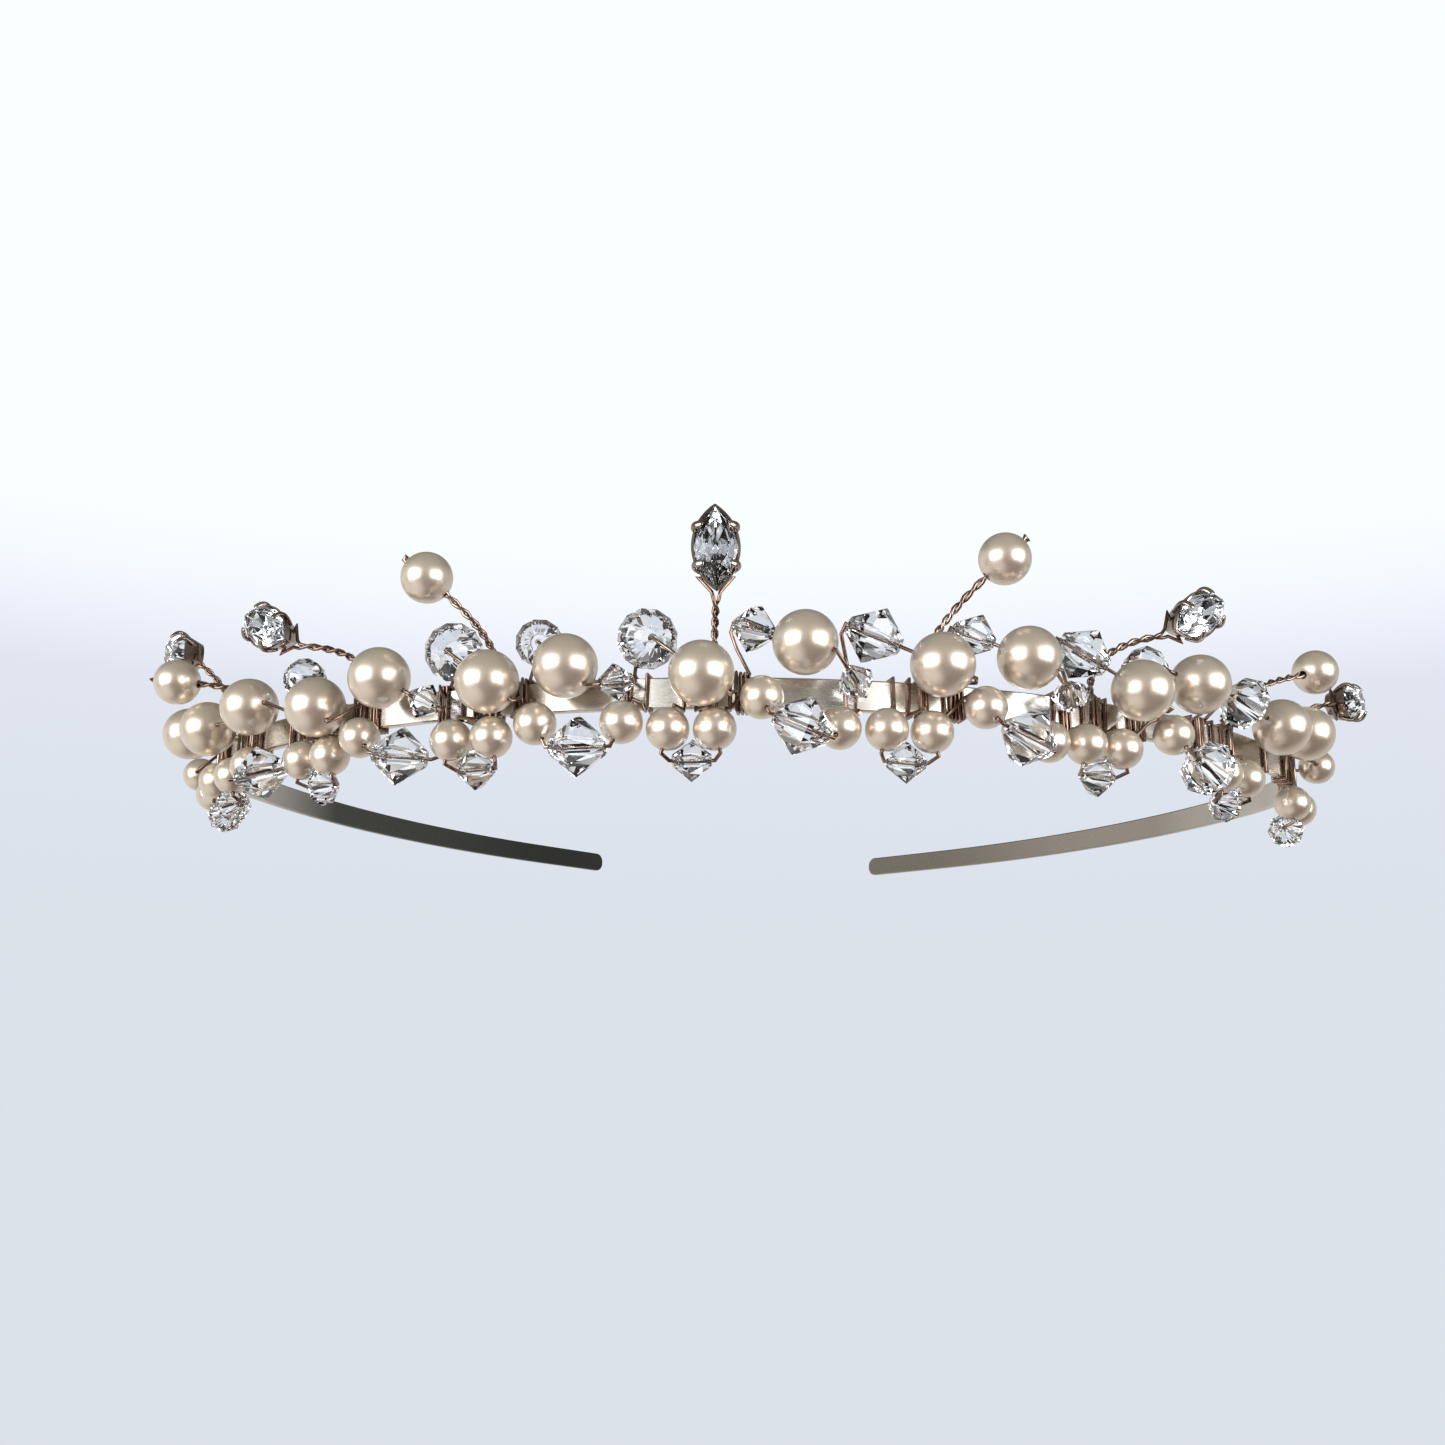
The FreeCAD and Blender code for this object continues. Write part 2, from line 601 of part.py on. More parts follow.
def vesica(length, width, height):
    """The outline of a pointed oval, long along X, at a height."""
    a = length / 2
    b = width / 2
    tips = [Vector(-a, 0, height), Vector(a, 0, height)]
    sides = [Part.Arc(tips[0], Vector(0, b, height), tips[1]).toShape(),
             Part.Arc(tips[1], Vector(0, -b, height), tips[0]).toShape()]
    return Part.Wire(sides)


def cup_share(height):
    """Outline of the cup at a height, as a share of its outline from the girdle up."""
    return SETTING_BACK + (1 - SETTING_BACK) * min(1.0, height / GIRDLE_HEIGHT)


def cup_body(length, width, base):
    """A solid from the base to the rim: it widens up to the girdle and is upright above it."""
    outlines = [vesica(length * cup_share(z), width * cup_share(z), z)
                for z in (base, GIRDLE_HEIGHT, SETTING_HEIGHT)]
    return Part.makeLoft(outlines, True, True)


def claw(end, side):
    """A claw that stands on the cup's wall and folds over the stone's crown."""
    nearest = CLAW_STATION - CLAW_WIDTH / 2
    outer = vesica_half_width(SETTING_LENGTH, SETTING_WIDTH, nearest)
    girdle = vesica_half_width(NAVETTE_LENGTH, NAVETTE_WIDTH, nearest) + STONE_CLEARANCE
    slope = NAVETTE_CROWN / (girdle * (1 - NAVETTE_TABLE))
    tip = girdle - CLAW_OVERLAP
    rim = SETTING_HEIGHT + STONE_CLEARANCE
    rise = rim + CLAW_OVERLAP * slope
    profile = [(girdle, SETTING_HEIGHT - CLAW_WIDTH), (outer, SETTING_HEIGHT - CLAW_WIDTH),
               (outer + CLAW_THICKNESS, SETTING_HEIGHT), (outer + CLAW_THICKNESS / 2, rim + CLAW_THICKNESS),
               (tip, rise + CLAW_THICKNESS), (tip, rise), (girdle, rim)]
    corners = [Vector(end * CLAW_STATION - CLAW_WIDTH / 2, side * y, z) for y, z in profile]
    return flat_face(corners).extrude(Vector(CLAW_WIDTH, 0, 0))


def navette_setting():
    """Four-claw cup for a navette: long along X, back at z = 0, sewing holes through the side walls."""
    inside = 2 * SETTING_WALL
    length = SETTING_LENGTH - inside * TIP_ALLOWANCE
    width = SETTING_WIDTH - inside
    cup = cup_body(SETTING_LENGTH, SETTING_WIDTH, 0)
    for side in (-1, 1):
        for end in (-1, 1):
            cup = cup.fuse(claw(end, side))
    cup = cup.cut(cup_body(length, width, SETTING_FLOOR))
    window = vesica(NAVETTE_LENGTH * SETTING_WINDOW, NAVETTE_WIDTH * SETTING_WINDOW, -SETTING_FLOOR)
    cup = cup.cut(Part.Face(window).extrude(UP * SETTING_HEIGHT))
    for end in (-1, 1):
        start = Vector(end * SEWING_STATION, -SETTING_WIDTH, SEWING_HEIGHT)
        cup = cup.cut(Part.makeCylinder(SEWING_HOLE / 2, 2 * SETTING_WIDTH, start, Vector(0, 1, 0)))
    return cup.removeSplitter()


def navette_ring(scale, height, half_steps):
    """Corners round the stone's outline at a height."""
    corners = []
    for k in range(NAVETTE_FACES):
        angle = 2 * math.pi * (k + half_steps / 2) / NAVETTE_FACES
        x = math.cos(angle) * NAVETTE_LENGTH / 2
        y = math.copysign(vesica_half_width(NAVETTE_LENGTH, NAVETTE_WIDTH, x), math.sin(angle))
        corners.append(Vector(x * scale, y * scale, height))
    return corners


def navette_stone():
    """The faceted stone, seated in its setting."""
    base = SETTING_FLOOR + STONE_CLEARANCE
    girdle = base + NAVETTE_PAVILION
    crown = girdle + NAVETTE_GIRDLE
    rings = [navette_ring(share, base + NAVETTE_PAVILION * depth, step)
             for step, (share, depth) in enumerate(NAVETTE_RINGS)]
    share, rise = NAVETTE_CROWN_RING
    rings += [navette_ring(1.0, girdle, 2),
              navette_ring(1.0, crown, 2),
              navette_ring(share, crown + NAVETTE_CROWN * rise, 3),
              navette_ring(NAVETTE_TABLE, crown + NAVETTE_CROWN, 4)]
    return facet_rings(rings)


def navette(plan, foot_station, tip, lean, turn, tilt):
    """Setting, stone and stalk of one navette; the stalk's wire passes through the sewing holes."""
    along, outwards = directions(tip[0])
    lean = math.radians(lean)
    turn = math.radians(turn)
    tilt = math.radians(tilt)
    length = UP * math.cos(lean) + along * math.sin(lean)
    facing = outwards * math.cos(turn) + along * math.sin(turn)
    facing = facing * math.cos(tilt) + UP * math.sin(tilt)
    facing = (facing - length * facing.dot(length)).normalize()
    across = facing.cross(length)
    middle = place(*tip) + length * (SETTING_LENGTH / 2)
    turn_to_place = FreeCAD.Placement(middle, FreeCAD.Rotation(length, across, facing, "XYZ"))
    wanted = along * math.cos(lean) - UP * math.sin(lean)
    side = 1 if across.dot(wanted) > 0 else -1

    def at(x, y):
        return middle + length * x + across * (side * y) + facing * SEWING_HEIGHT

    outline = cup_share(SEWING_HEIGHT + WIRE / 2)
    wall = vesica_half_width(SETTING_LENGTH * outline, SETTING_WIDTH * outline, SEWING_STATION)
    corner = wall + SEAT_GAP + WIRE
    below = SETTING_LENGTH * outline / 2 + SEAT_GAP + WIRE / 2
    cap = [at(-below, -PAIR_RADIUS), at(-SEWING_STATION, -corner),
           at(-SEWING_STATION, corner), at(-below, PAIR_RADIUS)]
    end = at(-below - 2 * PAIR_RADIUS, 0)
    foot = place(foot_station, STALK_FOOT, 0)
    rise = max(STALK_RISE, foot.distanceToPoint(end) * 0.5)
    wire = stalk_wire(plan, foot_station, rise, [end], across * side, cap)
    pieces = []
    for piece in (navette_setting(), navette_stone()):
        piece.Placement = turn_to_place
        pieces.append(piece)
    return pieces[0], pieces[1], wire


# ---------------------------------------------------------------- the whole tiara
def build():
    """All nodes by name: each a list of solids."""
    plan = StripPlan()
    nodes = {"band": [headband()]}
    for number, (foot, tip, lean, turn, tilt) in enumerate(NAVETTES, 1):
        setting, stone, wire = navette(plan, foot, tip, lean, turn, tilt)
        nodes["navette_%d_setting" % number] = [setting]
        nodes["navette_%d_stone" % number] = [stone]
        nodes["navette_%d_stalk" % number] = [wire]
    for number, (foot, spot) in enumerate(STALK_PEARLS, 1):
        bead, wire = stalk_pearl(plan, foot, spot)
        nodes["stalk_pearl_%d" % number] = [bead]
        nodes["stalk_pearl_%d_wire" % number] = [wire]
    for number, spot in enumerate(DROPS, 1):
        pearls, crystal, wire = drop(plan, *spot)
        nodes["drop_%d_pearls" % number] = pearls
        nodes["drop_%d_crystal" % number] = [crystal]
        nodes["drop_%d_wire" % number] = [wire]
    hung = [garland(plan, paired, spots) for paired, spots in GARLANDS]
    nodes["garland_pearls"] = [bead for pearls, crystal, wire in hung for bead in pearls]
    nodes["garland_crystals"] = [crystal for pearls, crystal, wire in hung]
    nodes["garland_wires"] = [wire for pearls, crystal, wire in hung]
    beads, lacing = laced_row(plan)
    nodes["laced_pearls"] = beads[PEARL] + beads[END]
    nodes["laced_round_crystals"] = beads[ROUND] + beads[SMALL_ROUND]
    nodes["laced_bicones"] = beads[LARGE] + beads[MEDIUM] + beads[SMALL]
    nodes["lacing_wire"] = [lacing]
    return nodes


def main():
    nodes = build()
    whole = Part.makeCompound([solid for solids in nodes.values() for solid in solids])
    box = whole.optimalBoundingBox(True, False)
    foot = Vector((box.XMin + box.XMax) / 2, (box.YMin + box.YMax) / 2, box.ZMin)
    print("origin taken at", foot, "size", box.XLength, box.YLength, box.ZLength)
    os.makedirs("parts", exist_ok=True)
    for name, solids in nodes.items():
        shape = Part.makeCompound(solids) if len(solids) > 1 else solids[0]
        shape.translate(-foot)
        shape.exportStep("parts/%s.step" % name)


main()
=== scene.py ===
"""Looks for the bridal tiara: pearls, faceted beads, claw-set navettes and binding wire on a slim strip.

Everything is in metres in the CAD frame: +Z up, the decorated front faces -Y. The places of the beads are
read from the CAD nodes, so nothing here repeats the part's tables.
"""

import json
import logging
import math
from dataclasses import dataclass, field
from enum import Enum
from typing import Any, Callable, Iterable

import bmesh
import bpy
from mathutils import Matrix, Vector

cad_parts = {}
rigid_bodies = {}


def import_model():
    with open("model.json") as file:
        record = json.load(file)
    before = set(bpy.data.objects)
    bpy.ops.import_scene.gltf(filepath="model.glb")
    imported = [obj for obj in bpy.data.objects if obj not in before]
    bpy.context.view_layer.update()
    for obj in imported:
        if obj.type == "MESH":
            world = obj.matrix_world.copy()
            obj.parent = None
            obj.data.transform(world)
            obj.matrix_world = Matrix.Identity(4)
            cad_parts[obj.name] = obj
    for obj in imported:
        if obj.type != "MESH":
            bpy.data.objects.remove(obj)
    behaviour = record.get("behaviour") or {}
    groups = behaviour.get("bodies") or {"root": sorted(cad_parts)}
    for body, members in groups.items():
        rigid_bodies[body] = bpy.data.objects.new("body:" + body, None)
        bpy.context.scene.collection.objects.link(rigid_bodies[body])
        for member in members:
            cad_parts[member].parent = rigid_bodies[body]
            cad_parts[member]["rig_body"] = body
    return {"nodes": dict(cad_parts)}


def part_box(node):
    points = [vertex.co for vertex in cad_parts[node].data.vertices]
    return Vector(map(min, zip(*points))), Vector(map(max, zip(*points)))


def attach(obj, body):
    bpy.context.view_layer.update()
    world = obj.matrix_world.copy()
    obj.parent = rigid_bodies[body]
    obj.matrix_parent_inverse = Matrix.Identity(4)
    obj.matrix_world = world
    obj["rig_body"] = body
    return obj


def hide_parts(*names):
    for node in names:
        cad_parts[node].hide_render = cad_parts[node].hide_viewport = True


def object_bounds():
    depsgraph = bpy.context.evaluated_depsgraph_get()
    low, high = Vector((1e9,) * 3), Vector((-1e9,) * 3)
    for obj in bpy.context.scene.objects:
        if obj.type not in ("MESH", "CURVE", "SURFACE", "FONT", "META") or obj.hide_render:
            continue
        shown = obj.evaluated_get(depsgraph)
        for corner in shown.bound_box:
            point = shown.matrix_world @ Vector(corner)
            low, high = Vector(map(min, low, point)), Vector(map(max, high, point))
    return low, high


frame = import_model()
CAD_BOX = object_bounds()

logging.basicConfig(level=logging.INFO, format="%(message)s")
log = logging.getLogger("tiara")

MM = 0.001
WIRE_WIDTH = 0.36 * MM
WELD = 1e-7                          # corners nearer than this are one
SHARP_EDGE = math.radians(25)        # a bend that counts as an edge when edges are rounded
BORE_EDGE_SHARE = 0.995              # an edge this near to a bead's longest lies along its bore
NOISE_SPAN = (0.3, 0.7)              # nearly all values of a noise lie between these
TONE_SPAN = (0.35, 0.65)             # where a noise turns from one tone to the other
WHITE = (1.0, 1.0, 1.0)

Colour = tuple[float, float, float]
Stops = tuple[tuple[float, Colour], ...]
Socket = bpy.types.NodeSocket


class Slot(Enum):
    """The record's material slots."""

    STRIP = "strip"
    WIRE = "binding_wire"
    PEARL = "pearl"
    CRYSTAL = "crystal"
    SETTING = "setting"


# ------------------------------------------------------------------ node helpers
def rgba(colour: Colour) -> tuple[float, float, float, float]:
    """Return the colour with full alpha."""
    return (*colour, 1.0)


@dataclass
class NodeSheet:
    """A node tree with short calls for adding and linking nodes."""

    tree: bpy.types.NodeTree

    def add(self, kind: str, **values: Any) -> bpy.types.Node:
        """Add a node.

        Args:
            kind: the node's type name without "ShaderNode".
            values: attributes of the node, or inputs given as in_NAME with spaces as underscores.

        Returns:
            The new node.
        """
        node = self.tree.nodes.new("ShaderNode" + kind)
        for name, value in values.items():
            if name.startswith("in_"):
                node.inputs[name[3:].replace("_", " ")].default_value = value
            else:
                setattr(node, name, value)
        return node

    def link(self, source: Socket, target: Socket) -> None:
        """Join an output socket to an input socket."""
        self.tree.links.new(source, target)

    def group(self, shared: bpy.types.NodeTree, **values: Any) -> bpy.types.Node:
        """Place a shared group.

        Args:
            shared: the group.
            values: the group's inputs by name, as set in this place.

        Returns:
            The group's node.
        """
        node = self.tree.nodes.new("ShaderNodeGroup")
        node.node_tree = shared
        for name, value in values.items():
            node.inputs[name].default_value = value
        return node

    def directions(self, source: Socket) -> tuple[Socket, Socket, Socket]:
        """Split a vector.

        Args:
            source: the output socket of the vector.

        Returns:
            The outputs of its X, Y and Z.
        """
        split = self.add("SeparateXYZ")
        self.link(source, split.inputs[0])
        return split.outputs["X"], split.outputs["Y"], split.outputs["Z"]

    def combine(self, operation: str, first: Socket, second: Socket) -> Socket:
        """Work out one value from two.

        Args:
            operation: how, such as MULTIPLY or MAXIMUM.
            first: the output socket of one value.
            second: the output socket of the other.

        Returns:
            The result's output socket.
        """
        node = self.add("Math", operation=operation)
        self.link(first, node.inputs[0])
        self.link(second, node.inputs[1])
        return node.outputs[0]

    def ramp(self, source: Socket, stops: Stops) -> Socket:
        """Colour a value that runs from 0 to 1.

        Args:
            source: the output socket of the value.
            stops: values and colours, in order.

        Returns:
            The colour output.
        """
        ramp = self.add("ValToRGB")
        elements = ramp.color_ramp.elements
        while len(elements) < len(stops):
            elements.new(0.5)
        for element, (place, colour) in zip(elements, stops):
            element.position = place
            element.color = rgba(colour)
        self.link(source, ramp.inputs["Fac"])
        return ramp.outputs["Color"]

    def spread(self, source: Socket, start: float, end: float, low: float = 0.0, high: float = 1.0) -> Socket:
        """Map a value to a range, and hold it at the range's ends.

        Args:
            source: the output socket of the value.
            start: the value that gives the low result.
            end: the value that gives the high result.
            low: the result at the start.
            high: the result at the end.

        Returns:
            The result's output socket.
        """
        spread = self.add("MapRange")
        for name, value in (("From Min", start), ("From Max", end), ("To Min", low), ("To Max", high)):
            spread.inputs[name].default_value = value
        self.link(source, spread.inputs["Value"])
        return spread.outputs["Result"]

    def blend(self, share: Socket | float, first: Socket | Colour, second: Socket | Colour,
              kind: str = "MIX") -> Socket:
        """Mix two colours, each given as an output socket or as a plain colour.

        Args:
            share: how much of the second colour shows, as an output socket or as a number.
            first: one colour.
            second: the other colour.
            kind: the way of mixing.

        Returns:
            The mixed colour's output.
        """
        mix = self.add("Mix", data_type="RGBA", blend_type=kind)
        for name, given in (("Factor", share), ("A", first), ("B", second)):
            if isinstance(given, Socket):
                self.link(given, mix.inputs[name])
            else:
                mix.inputs[name].default_value = given if name == "Factor" else rgba(given)
        return mix.outputs["Result"]


def surface_variation() -> bpy.types.NodeTree:
    """Build the group that all finishes share: slow tone changes, fine grain and a bump normal.

    The grain's bumps are a fiftieth of a millimetre high at full relief.

    Returns:
        The group, with inputs ToneScale, GrainScale, Stretch and Relief, and outputs Tone, Grain, Normal.
    """
    tree = bpy.data.node_groups.new("surface_variation", "ShaderNodeTree")
    sockets = (("ToneScale", 120.0), ("GrainScale", 4000.0), ("Relief", 0.02))
    for name, value in sockets:
        tree.interface.new_socket(name, in_out="INPUT", socket_type="NodeSocketFloat").default_value = value
    stretch = tree.interface.new_socket("Stretch", in_out="INPUT", socket_type="NodeSocketVector")
    stretch.default_value = (1.0, 1.0, 1.0)
    for name in ("Tone", "Grain"):
        tree.interface.new_socket(name, in_out="OUTPUT", socket_type="NodeSocketFloat")
    tree.interface.new_socket("Normal", in_out="OUTPUT", socket_type="NodeSocketVector")
    sheet = NodeSheet(tree)
    given = tree.nodes.new("NodeGroupInput")
    result = tree.nodes.new("NodeGroupOutput")
    place = sheet.add("TexCoord")
    squeeze = sheet.add("VectorMath", operation="MULTIPLY")
    sheet.link(place.outputs["Object"], squeeze.inputs[0])
    sheet.link(given.outputs["Stretch"], squeeze.inputs[1])
    tone = sheet.add("TexNoise", in_Detail=3.0, in_Roughness=0.6)
    grain = sheet.add("TexNoise", in_Detail=4.0, in_Roughness=0.65)
    bump = sheet.add("Bump", in_Distance=0.02 * MM)
    sheet.link(place.outputs["Object"], tone.inputs["Vector"])
    sheet.link(given.outputs["ToneScale"], tone.inputs["Scale"])
    sheet.link(squeeze.outputs[0], grain.inputs["Vector"])
    sheet.link(given.outputs["GrainScale"], grain.inputs["Scale"])
    sheet.link(grain.outputs["Fac"], bump.inputs["Height"])
    sheet.link(given.outputs["Relief"], bump.inputs["Strength"])
    sheet.link(tone.outputs["Fac"], result.inputs["Tone"])
    sheet.link(grain.outputs["Fac"], result.inputs["Grain"])
    sheet.link(bump.outputs["Normal"], result.inputs["Normal"])
    return tree


@dataclass(frozen=True)
class Finish:
    """What every finish has: a name and the shared group."""

    name: str
    variation: bpy.types.NodeTree

    def start(self) -> tuple[bpy.types.Material, NodeSheet, bpy.types.Node]:
        """Make the material.

        Returns:
            The material, its node sheet and its Principled shader.
        """
        material = bpy.data.materials.new(self.name)
        material.use_nodes = True
        sheet = NodeSheet(material.node_tree)
        shader = material.node_tree.nodes["Principled BSDF"]
        return material, sheet, shader


@dataclass(frozen=True)
class MetalFinish(Finish):
    """Bare or plated metal: two tones that drift into each other, and a fine drawn grain."""

    tones: tuple[Colour, Colour]
    roughness: tuple[float, float]
    tone_scale: float
    relief: float
    grain_scale: float = 3000.0
    stretch: tuple[float, float, float] = (1.0, 1.0, 1.0)

    def build(self) -> bpy.types.Material:
        """Make the metal.

        Returns:
            The material.
        """
        material, sheet, shader = self.start()
        shared = sheet.group(self.variation, ToneScale=self.tone_scale, GrainScale=self.grain_scale,
                             Stretch=self.stretch, Relief=self.relief)
        rough = sheet.spread(shared.outputs["Grain"], *NOISE_SPAN, *self.roughness)
        shader.inputs["Metallic"].default_value = 1.0
        sheet.link(self.base_colour(sheet, shared), shader.inputs["Base Color"])
        sheet.link(rough, shader.inputs["Roughness"])
        sheet.link(shared.outputs["Normal"], shader.inputs["Normal"])
        return material

    def base_colour(self, sheet: NodeSheet, shared: bpy.types.Node) -> Socket:
        """Return the output of the colour that drifts between the two tones."""
        return sheet.ramp(shared.outputs["Tone"], tuple(zip(TONE_SPAN, self.tones)))


@dataclass(frozen=True)
class StripFinish(MetalFinish):
    """Silver plate, bright round the front, with painted reflections towards both ends, darkest on the
    wearer's right.

    The two painted reflection tones give way to each other within the middle's reach, to each side of the
    middle.
    """

    # painted reflections on the legs: near black on the wearer's right, beige-grey on the wearer's left
    painted_dark_reflection: Colour = (0.10, 0.105, 0.10)
    painted_beige_reflection: Colour = (0.40, 0.37, 0.33)
    painted_reflection_from: float = -8.0 * MM
    painted_reflection_full: float = 14.0 * MM
    middle_reach: float = 10.0 * MM

    def base_colour(self, sheet: NodeSheet, shared: bpy.types.Node) -> Socket:
        """Colour the plate, with painted reflections towards the back, different on each side.

        Args:
            sheet: the material's nodes.
            shared: the node of the shared group.

        Returns:
            The colour output.
        """
        plate = super().base_colour(sheet, shared)
        across, back, _ = sheet.directions(sheet.add("TexCoord").outputs["Object"])
        ends = sheet.spread(back, self.painted_reflection_from, self.painted_reflection_full)
        side = sheet.spread(across, -self.middle_reach, self.middle_reach, 1.0, 0.0)
        # painted reflection: towards the back the plate gives way to a painted dark tone on one side and a
        # painted beige-grey tone on the other
        return sheet.blend(ends, plate, sheet.blend(side, self.painted_beige_reflection, self.painted_dark_reflection))


@dataclass(frozen=True)
class PearlFinish(Finish):
    """Glossy imitation pearl: a champagne lustre that turns a little greener at its rim, and a clear coat."""

    face: Colour = (0.91, 0.80, 0.67)
    blush: Colour = (0.90, 0.77, 0.665)
    rim: Colour = (0.90, 0.85, 0.73)
    rim_width: float = 0.25
    roughness: tuple[float, float] = (0.31, 0.36)
    lustre: float = 0.75
    coat: float = 0.35
    coat_roughness: float = 0.15
    coat_index: float = 1.5

    def build(self) -> bpy.types.Material:
        """Make the lustre.

        Returns:
            The material.
        """
        material, sheet, shader = self.start()
        shared = sheet.group(self.variation, ToneScale=90.0, GrainScale=700.0, Relief=0.015)
        body = sheet.ramp(shared.outputs["Tone"], ((0.4, self.face), (0.65, self.blush)))
        edge = sheet.add("LayerWeight", in_Blend=self.rim_width)
        rough = sheet.spread(shared.outputs["Grain"], *NOISE_SPAN, *self.roughness)
        sheet.link(sheet.blend(edge.outputs["Facing"], body, self.rim), shader.inputs["Base Color"])
        sheet.link(rough, shader.inputs["Roughness"])
        sheet.link(shared.outputs["Normal"], shader.inputs["Normal"])
        shader.inputs["Metallic"].default_value = self.lustre
        shader.inputs["Coat Weight"].default_value = self.coat
        shader.inputs["Coat Roughness"].default_value = self.coat_roughness
        shader.inputs["Coat IOR"].default_value = self.coat_index
        return material


@dataclass(frozen=True)
class CrystalFinish(Finish):
    """Clear cut lead glass with a painted violet glint of fire here and there and the faintest haze of wear
    on its facets.
    """

    tint: Colour = (0.96, 0.975, 1.0)
    painted_fire: Colour = (0.78, 0.76, 1.0)
    haze: tuple[float, float] = (0.0, 0.02)
    index: float = 1.6

    def build(self) -> bpy.types.Material:
        """Make the glass.

        Returns:
            The material.
        """
        material, sheet, shader = self.start()
        shared = sheet.group(self.variation, ToneScale=300.0, GrainScale=2500.0, Relief=0.0)
        haze = sheet.spread(shared.outputs["Grain"], *NOISE_SPAN, *self.haze)
        # painted light: a narrow band of the noise paints violet glints of fire into the glass
        tint = sheet.ramp(shared.outputs["Tone"],
                          ((0.3, self.tint), (0.6, WHITE), (0.64, self.painted_fire), (0.68, WHITE)))
        sheet.link(tint, shader.inputs["Base Color"])
        sheet.link(haze, shader.inputs["Roughness"])
        shader.inputs["Metallic"].default_value = 0.0
        shader.inputs["Transmission Weight"].default_value = 1.0
        shader.inputs["IOR"].default_value = self.index
        return material


# ------------------------------------------------------------------ reading the CAD
@dataclass(frozen=True)
class Bead:
    """A drilled bead found in a CAD node: its place, and its sizes along and across its bore.

    The radius is its greatest reach from its centre, and the girdle its greatest reach from its axis.
    """

    centre: Vector
    axis: Vector
    radius: float
    bore: float
    length: float
    girdle: float

    def placement(self) -> Matrix:
        """Return the matrix that lays a bead made along Z at the origin into this place."""
        turn = self.axis.to_track_quat("Z", "Y").to_matrix().to_4x4()
        return Matrix.Translation(self.centre) @ turn


def islands_of(mesh: bmesh.types.BMesh) -> list[list[bmesh.types.BMVert]]:
    """Part a mesh into its loose pieces.

    Args:
        mesh: a merged mesh.

    Returns:
        The corners of each piece, always in the same order.
    """
    seen = set()
    islands = []
    for start in mesh.verts:
        if start in seen:
            continue
        seen.add(start)
        island = [start]
        for vert in island:
            for edge in vert.link_edges:
                other = edge.other_vert(vert)
                if other not in seen:
                    seen.add(other)
                    island.append(other)
        islands.append(island)
    return islands


def read_bead(corners: list[bmesh.types.BMVert]) -> Bead:
    """Read a drilled bead's place and sizes from its corners.

    Its longest edges run along its bore, which gives its axis and centre.

    Args:
        corners: all the corners of one bead.

    Returns:
        The bead.
    """
    edges = list(dict.fromkeys(edge for vert in corners for edge in vert.link_edges))
    longest = max(edge.calc_length() for edge in edges)
    bores = [edge for edge in edges if edge.calc_length() > longest * BORE_EDGE_SHARE]
    runs = [(edge.verts[1].co - edge.verts[0].co).normalized() for edge in bores]
    axis = sum((run if run.dot(runs[0]) > 0 else -run for run in runs), Vector()).normalized()
    centre = sum(((edge.verts[0].co + edge.verts[1].co) / 2 for edge in bores), Vector()) / len(bores)
    mouths = [edge.verts[0].co - centre for edge in bores]
    bore = sum((mouth - axis * mouth.dot(axis)).length for mouth in mouths) / len(mouths)
    reaches = [vert.co - centre for vert in corners]
    radius = max(reach.length for reach in reaches)
    girdle = max((reach - axis * reach.dot(axis)).length for reach in reaches)
    return Bead(centre, axis, radius, bore, longest, girdle)


def beads_of(node: str) -> list[Bead]:
    """Find the drilled beads in a CAD node.

    Args:
        node: the CAD node's name.

    Returns:
        One entry for each bead, always in the same order.
    """
    mesh = bmesh.new()
    mesh.from_mesh(frame["nodes"][node].data)
    bmesh.ops.remove_doubles(mesh, verts=mesh.verts, dist=WELD)
    found = [read_bead(island) for island in islands_of(mesh)]
    mesh.free()
    return found


def table_normal(stone: bpy.types.Object) -> Vector:
    """Find which way a stone's table, its largest flat, faces.

    Args:
        stone: the CAD node or a copy of it.

    Returns:
        The direction, of length 1.
    """
    areas: dict[tuple[float, ...], float] = {}
    for face in stone.data.polygons:
        key = tuple(round(c, 2) for c in face.normal)
        areas[key] = areas.get(key, 0.0) + face.area
    return Vector(max(areas, key=areas.get)).normalized()


# ------------------------------------------------------------------ modelling helpers
def only(obj: bpy.types.Object) -> None:
    """Select one object alone and make it active.

    Args:
        obj: the object.
    """
    bpy.ops.object.select_all(action="DESELECT")
    obj.select_set(True)
    bpy.context.view_layer.objects.active = obj


def in_edit_mode(obj: bpy.types.Object, work: Callable[[], None]) -> None:
    """Run some edit-mode operators on an object, which is left selected alone.

    Args:
        obj: the object.
        work: calls the operators.
    """
    only(obj)
    bpy.ops.object.mode_set(mode="EDIT")
    work()
    bpy.ops.object.mode_set(mode="OBJECT")


def pick(obj: bpy.types.Object, test: Callable[[Vector], bool]) -> None:
    """In edit mode, select the corners whose place passes a test, and nothing else.

    Args:
        obj: the object being edited.
        test: tells whether a place passes.
    """
    bpy.ops.mesh.select_mode(type="VERT")
    bpy.ops.mesh.select_all(action="DESELECT")
    mesh = bmesh.from_edit_mesh(obj.data)
    for vert in mesh.verts:
        vert.select = test(vert.co)
    mesh.select_flush_mode()
    bmesh.update_edit_mesh(obj.data)


def pick_rings(obj: bpy.types.Object, rings: tuple[tuple[float, float], ...]) -> None:
    """In edit mode, select the corners that lie on some rings round Z.

    Args:
        obj: the object being edited.
        rings: each ring's radius and height.
    """
    close = 1e-6

    def on_a_ring(co: Vector) -> bool:
        """Tell whether a corner lies on one of the rings."""
        reach = co.xy.length
        return any(abs(reach - radius) < close and abs(co.z - height) < close for radius, height in rings)

    pick(obj, on_a_ring)


def face_outwards() -> None:
    """In edit mode, turn every face outwards."""
    bpy.ops.mesh.select_all(action="SELECT")
    bpy.ops.mesh.normals_make_consistent(inside=False)


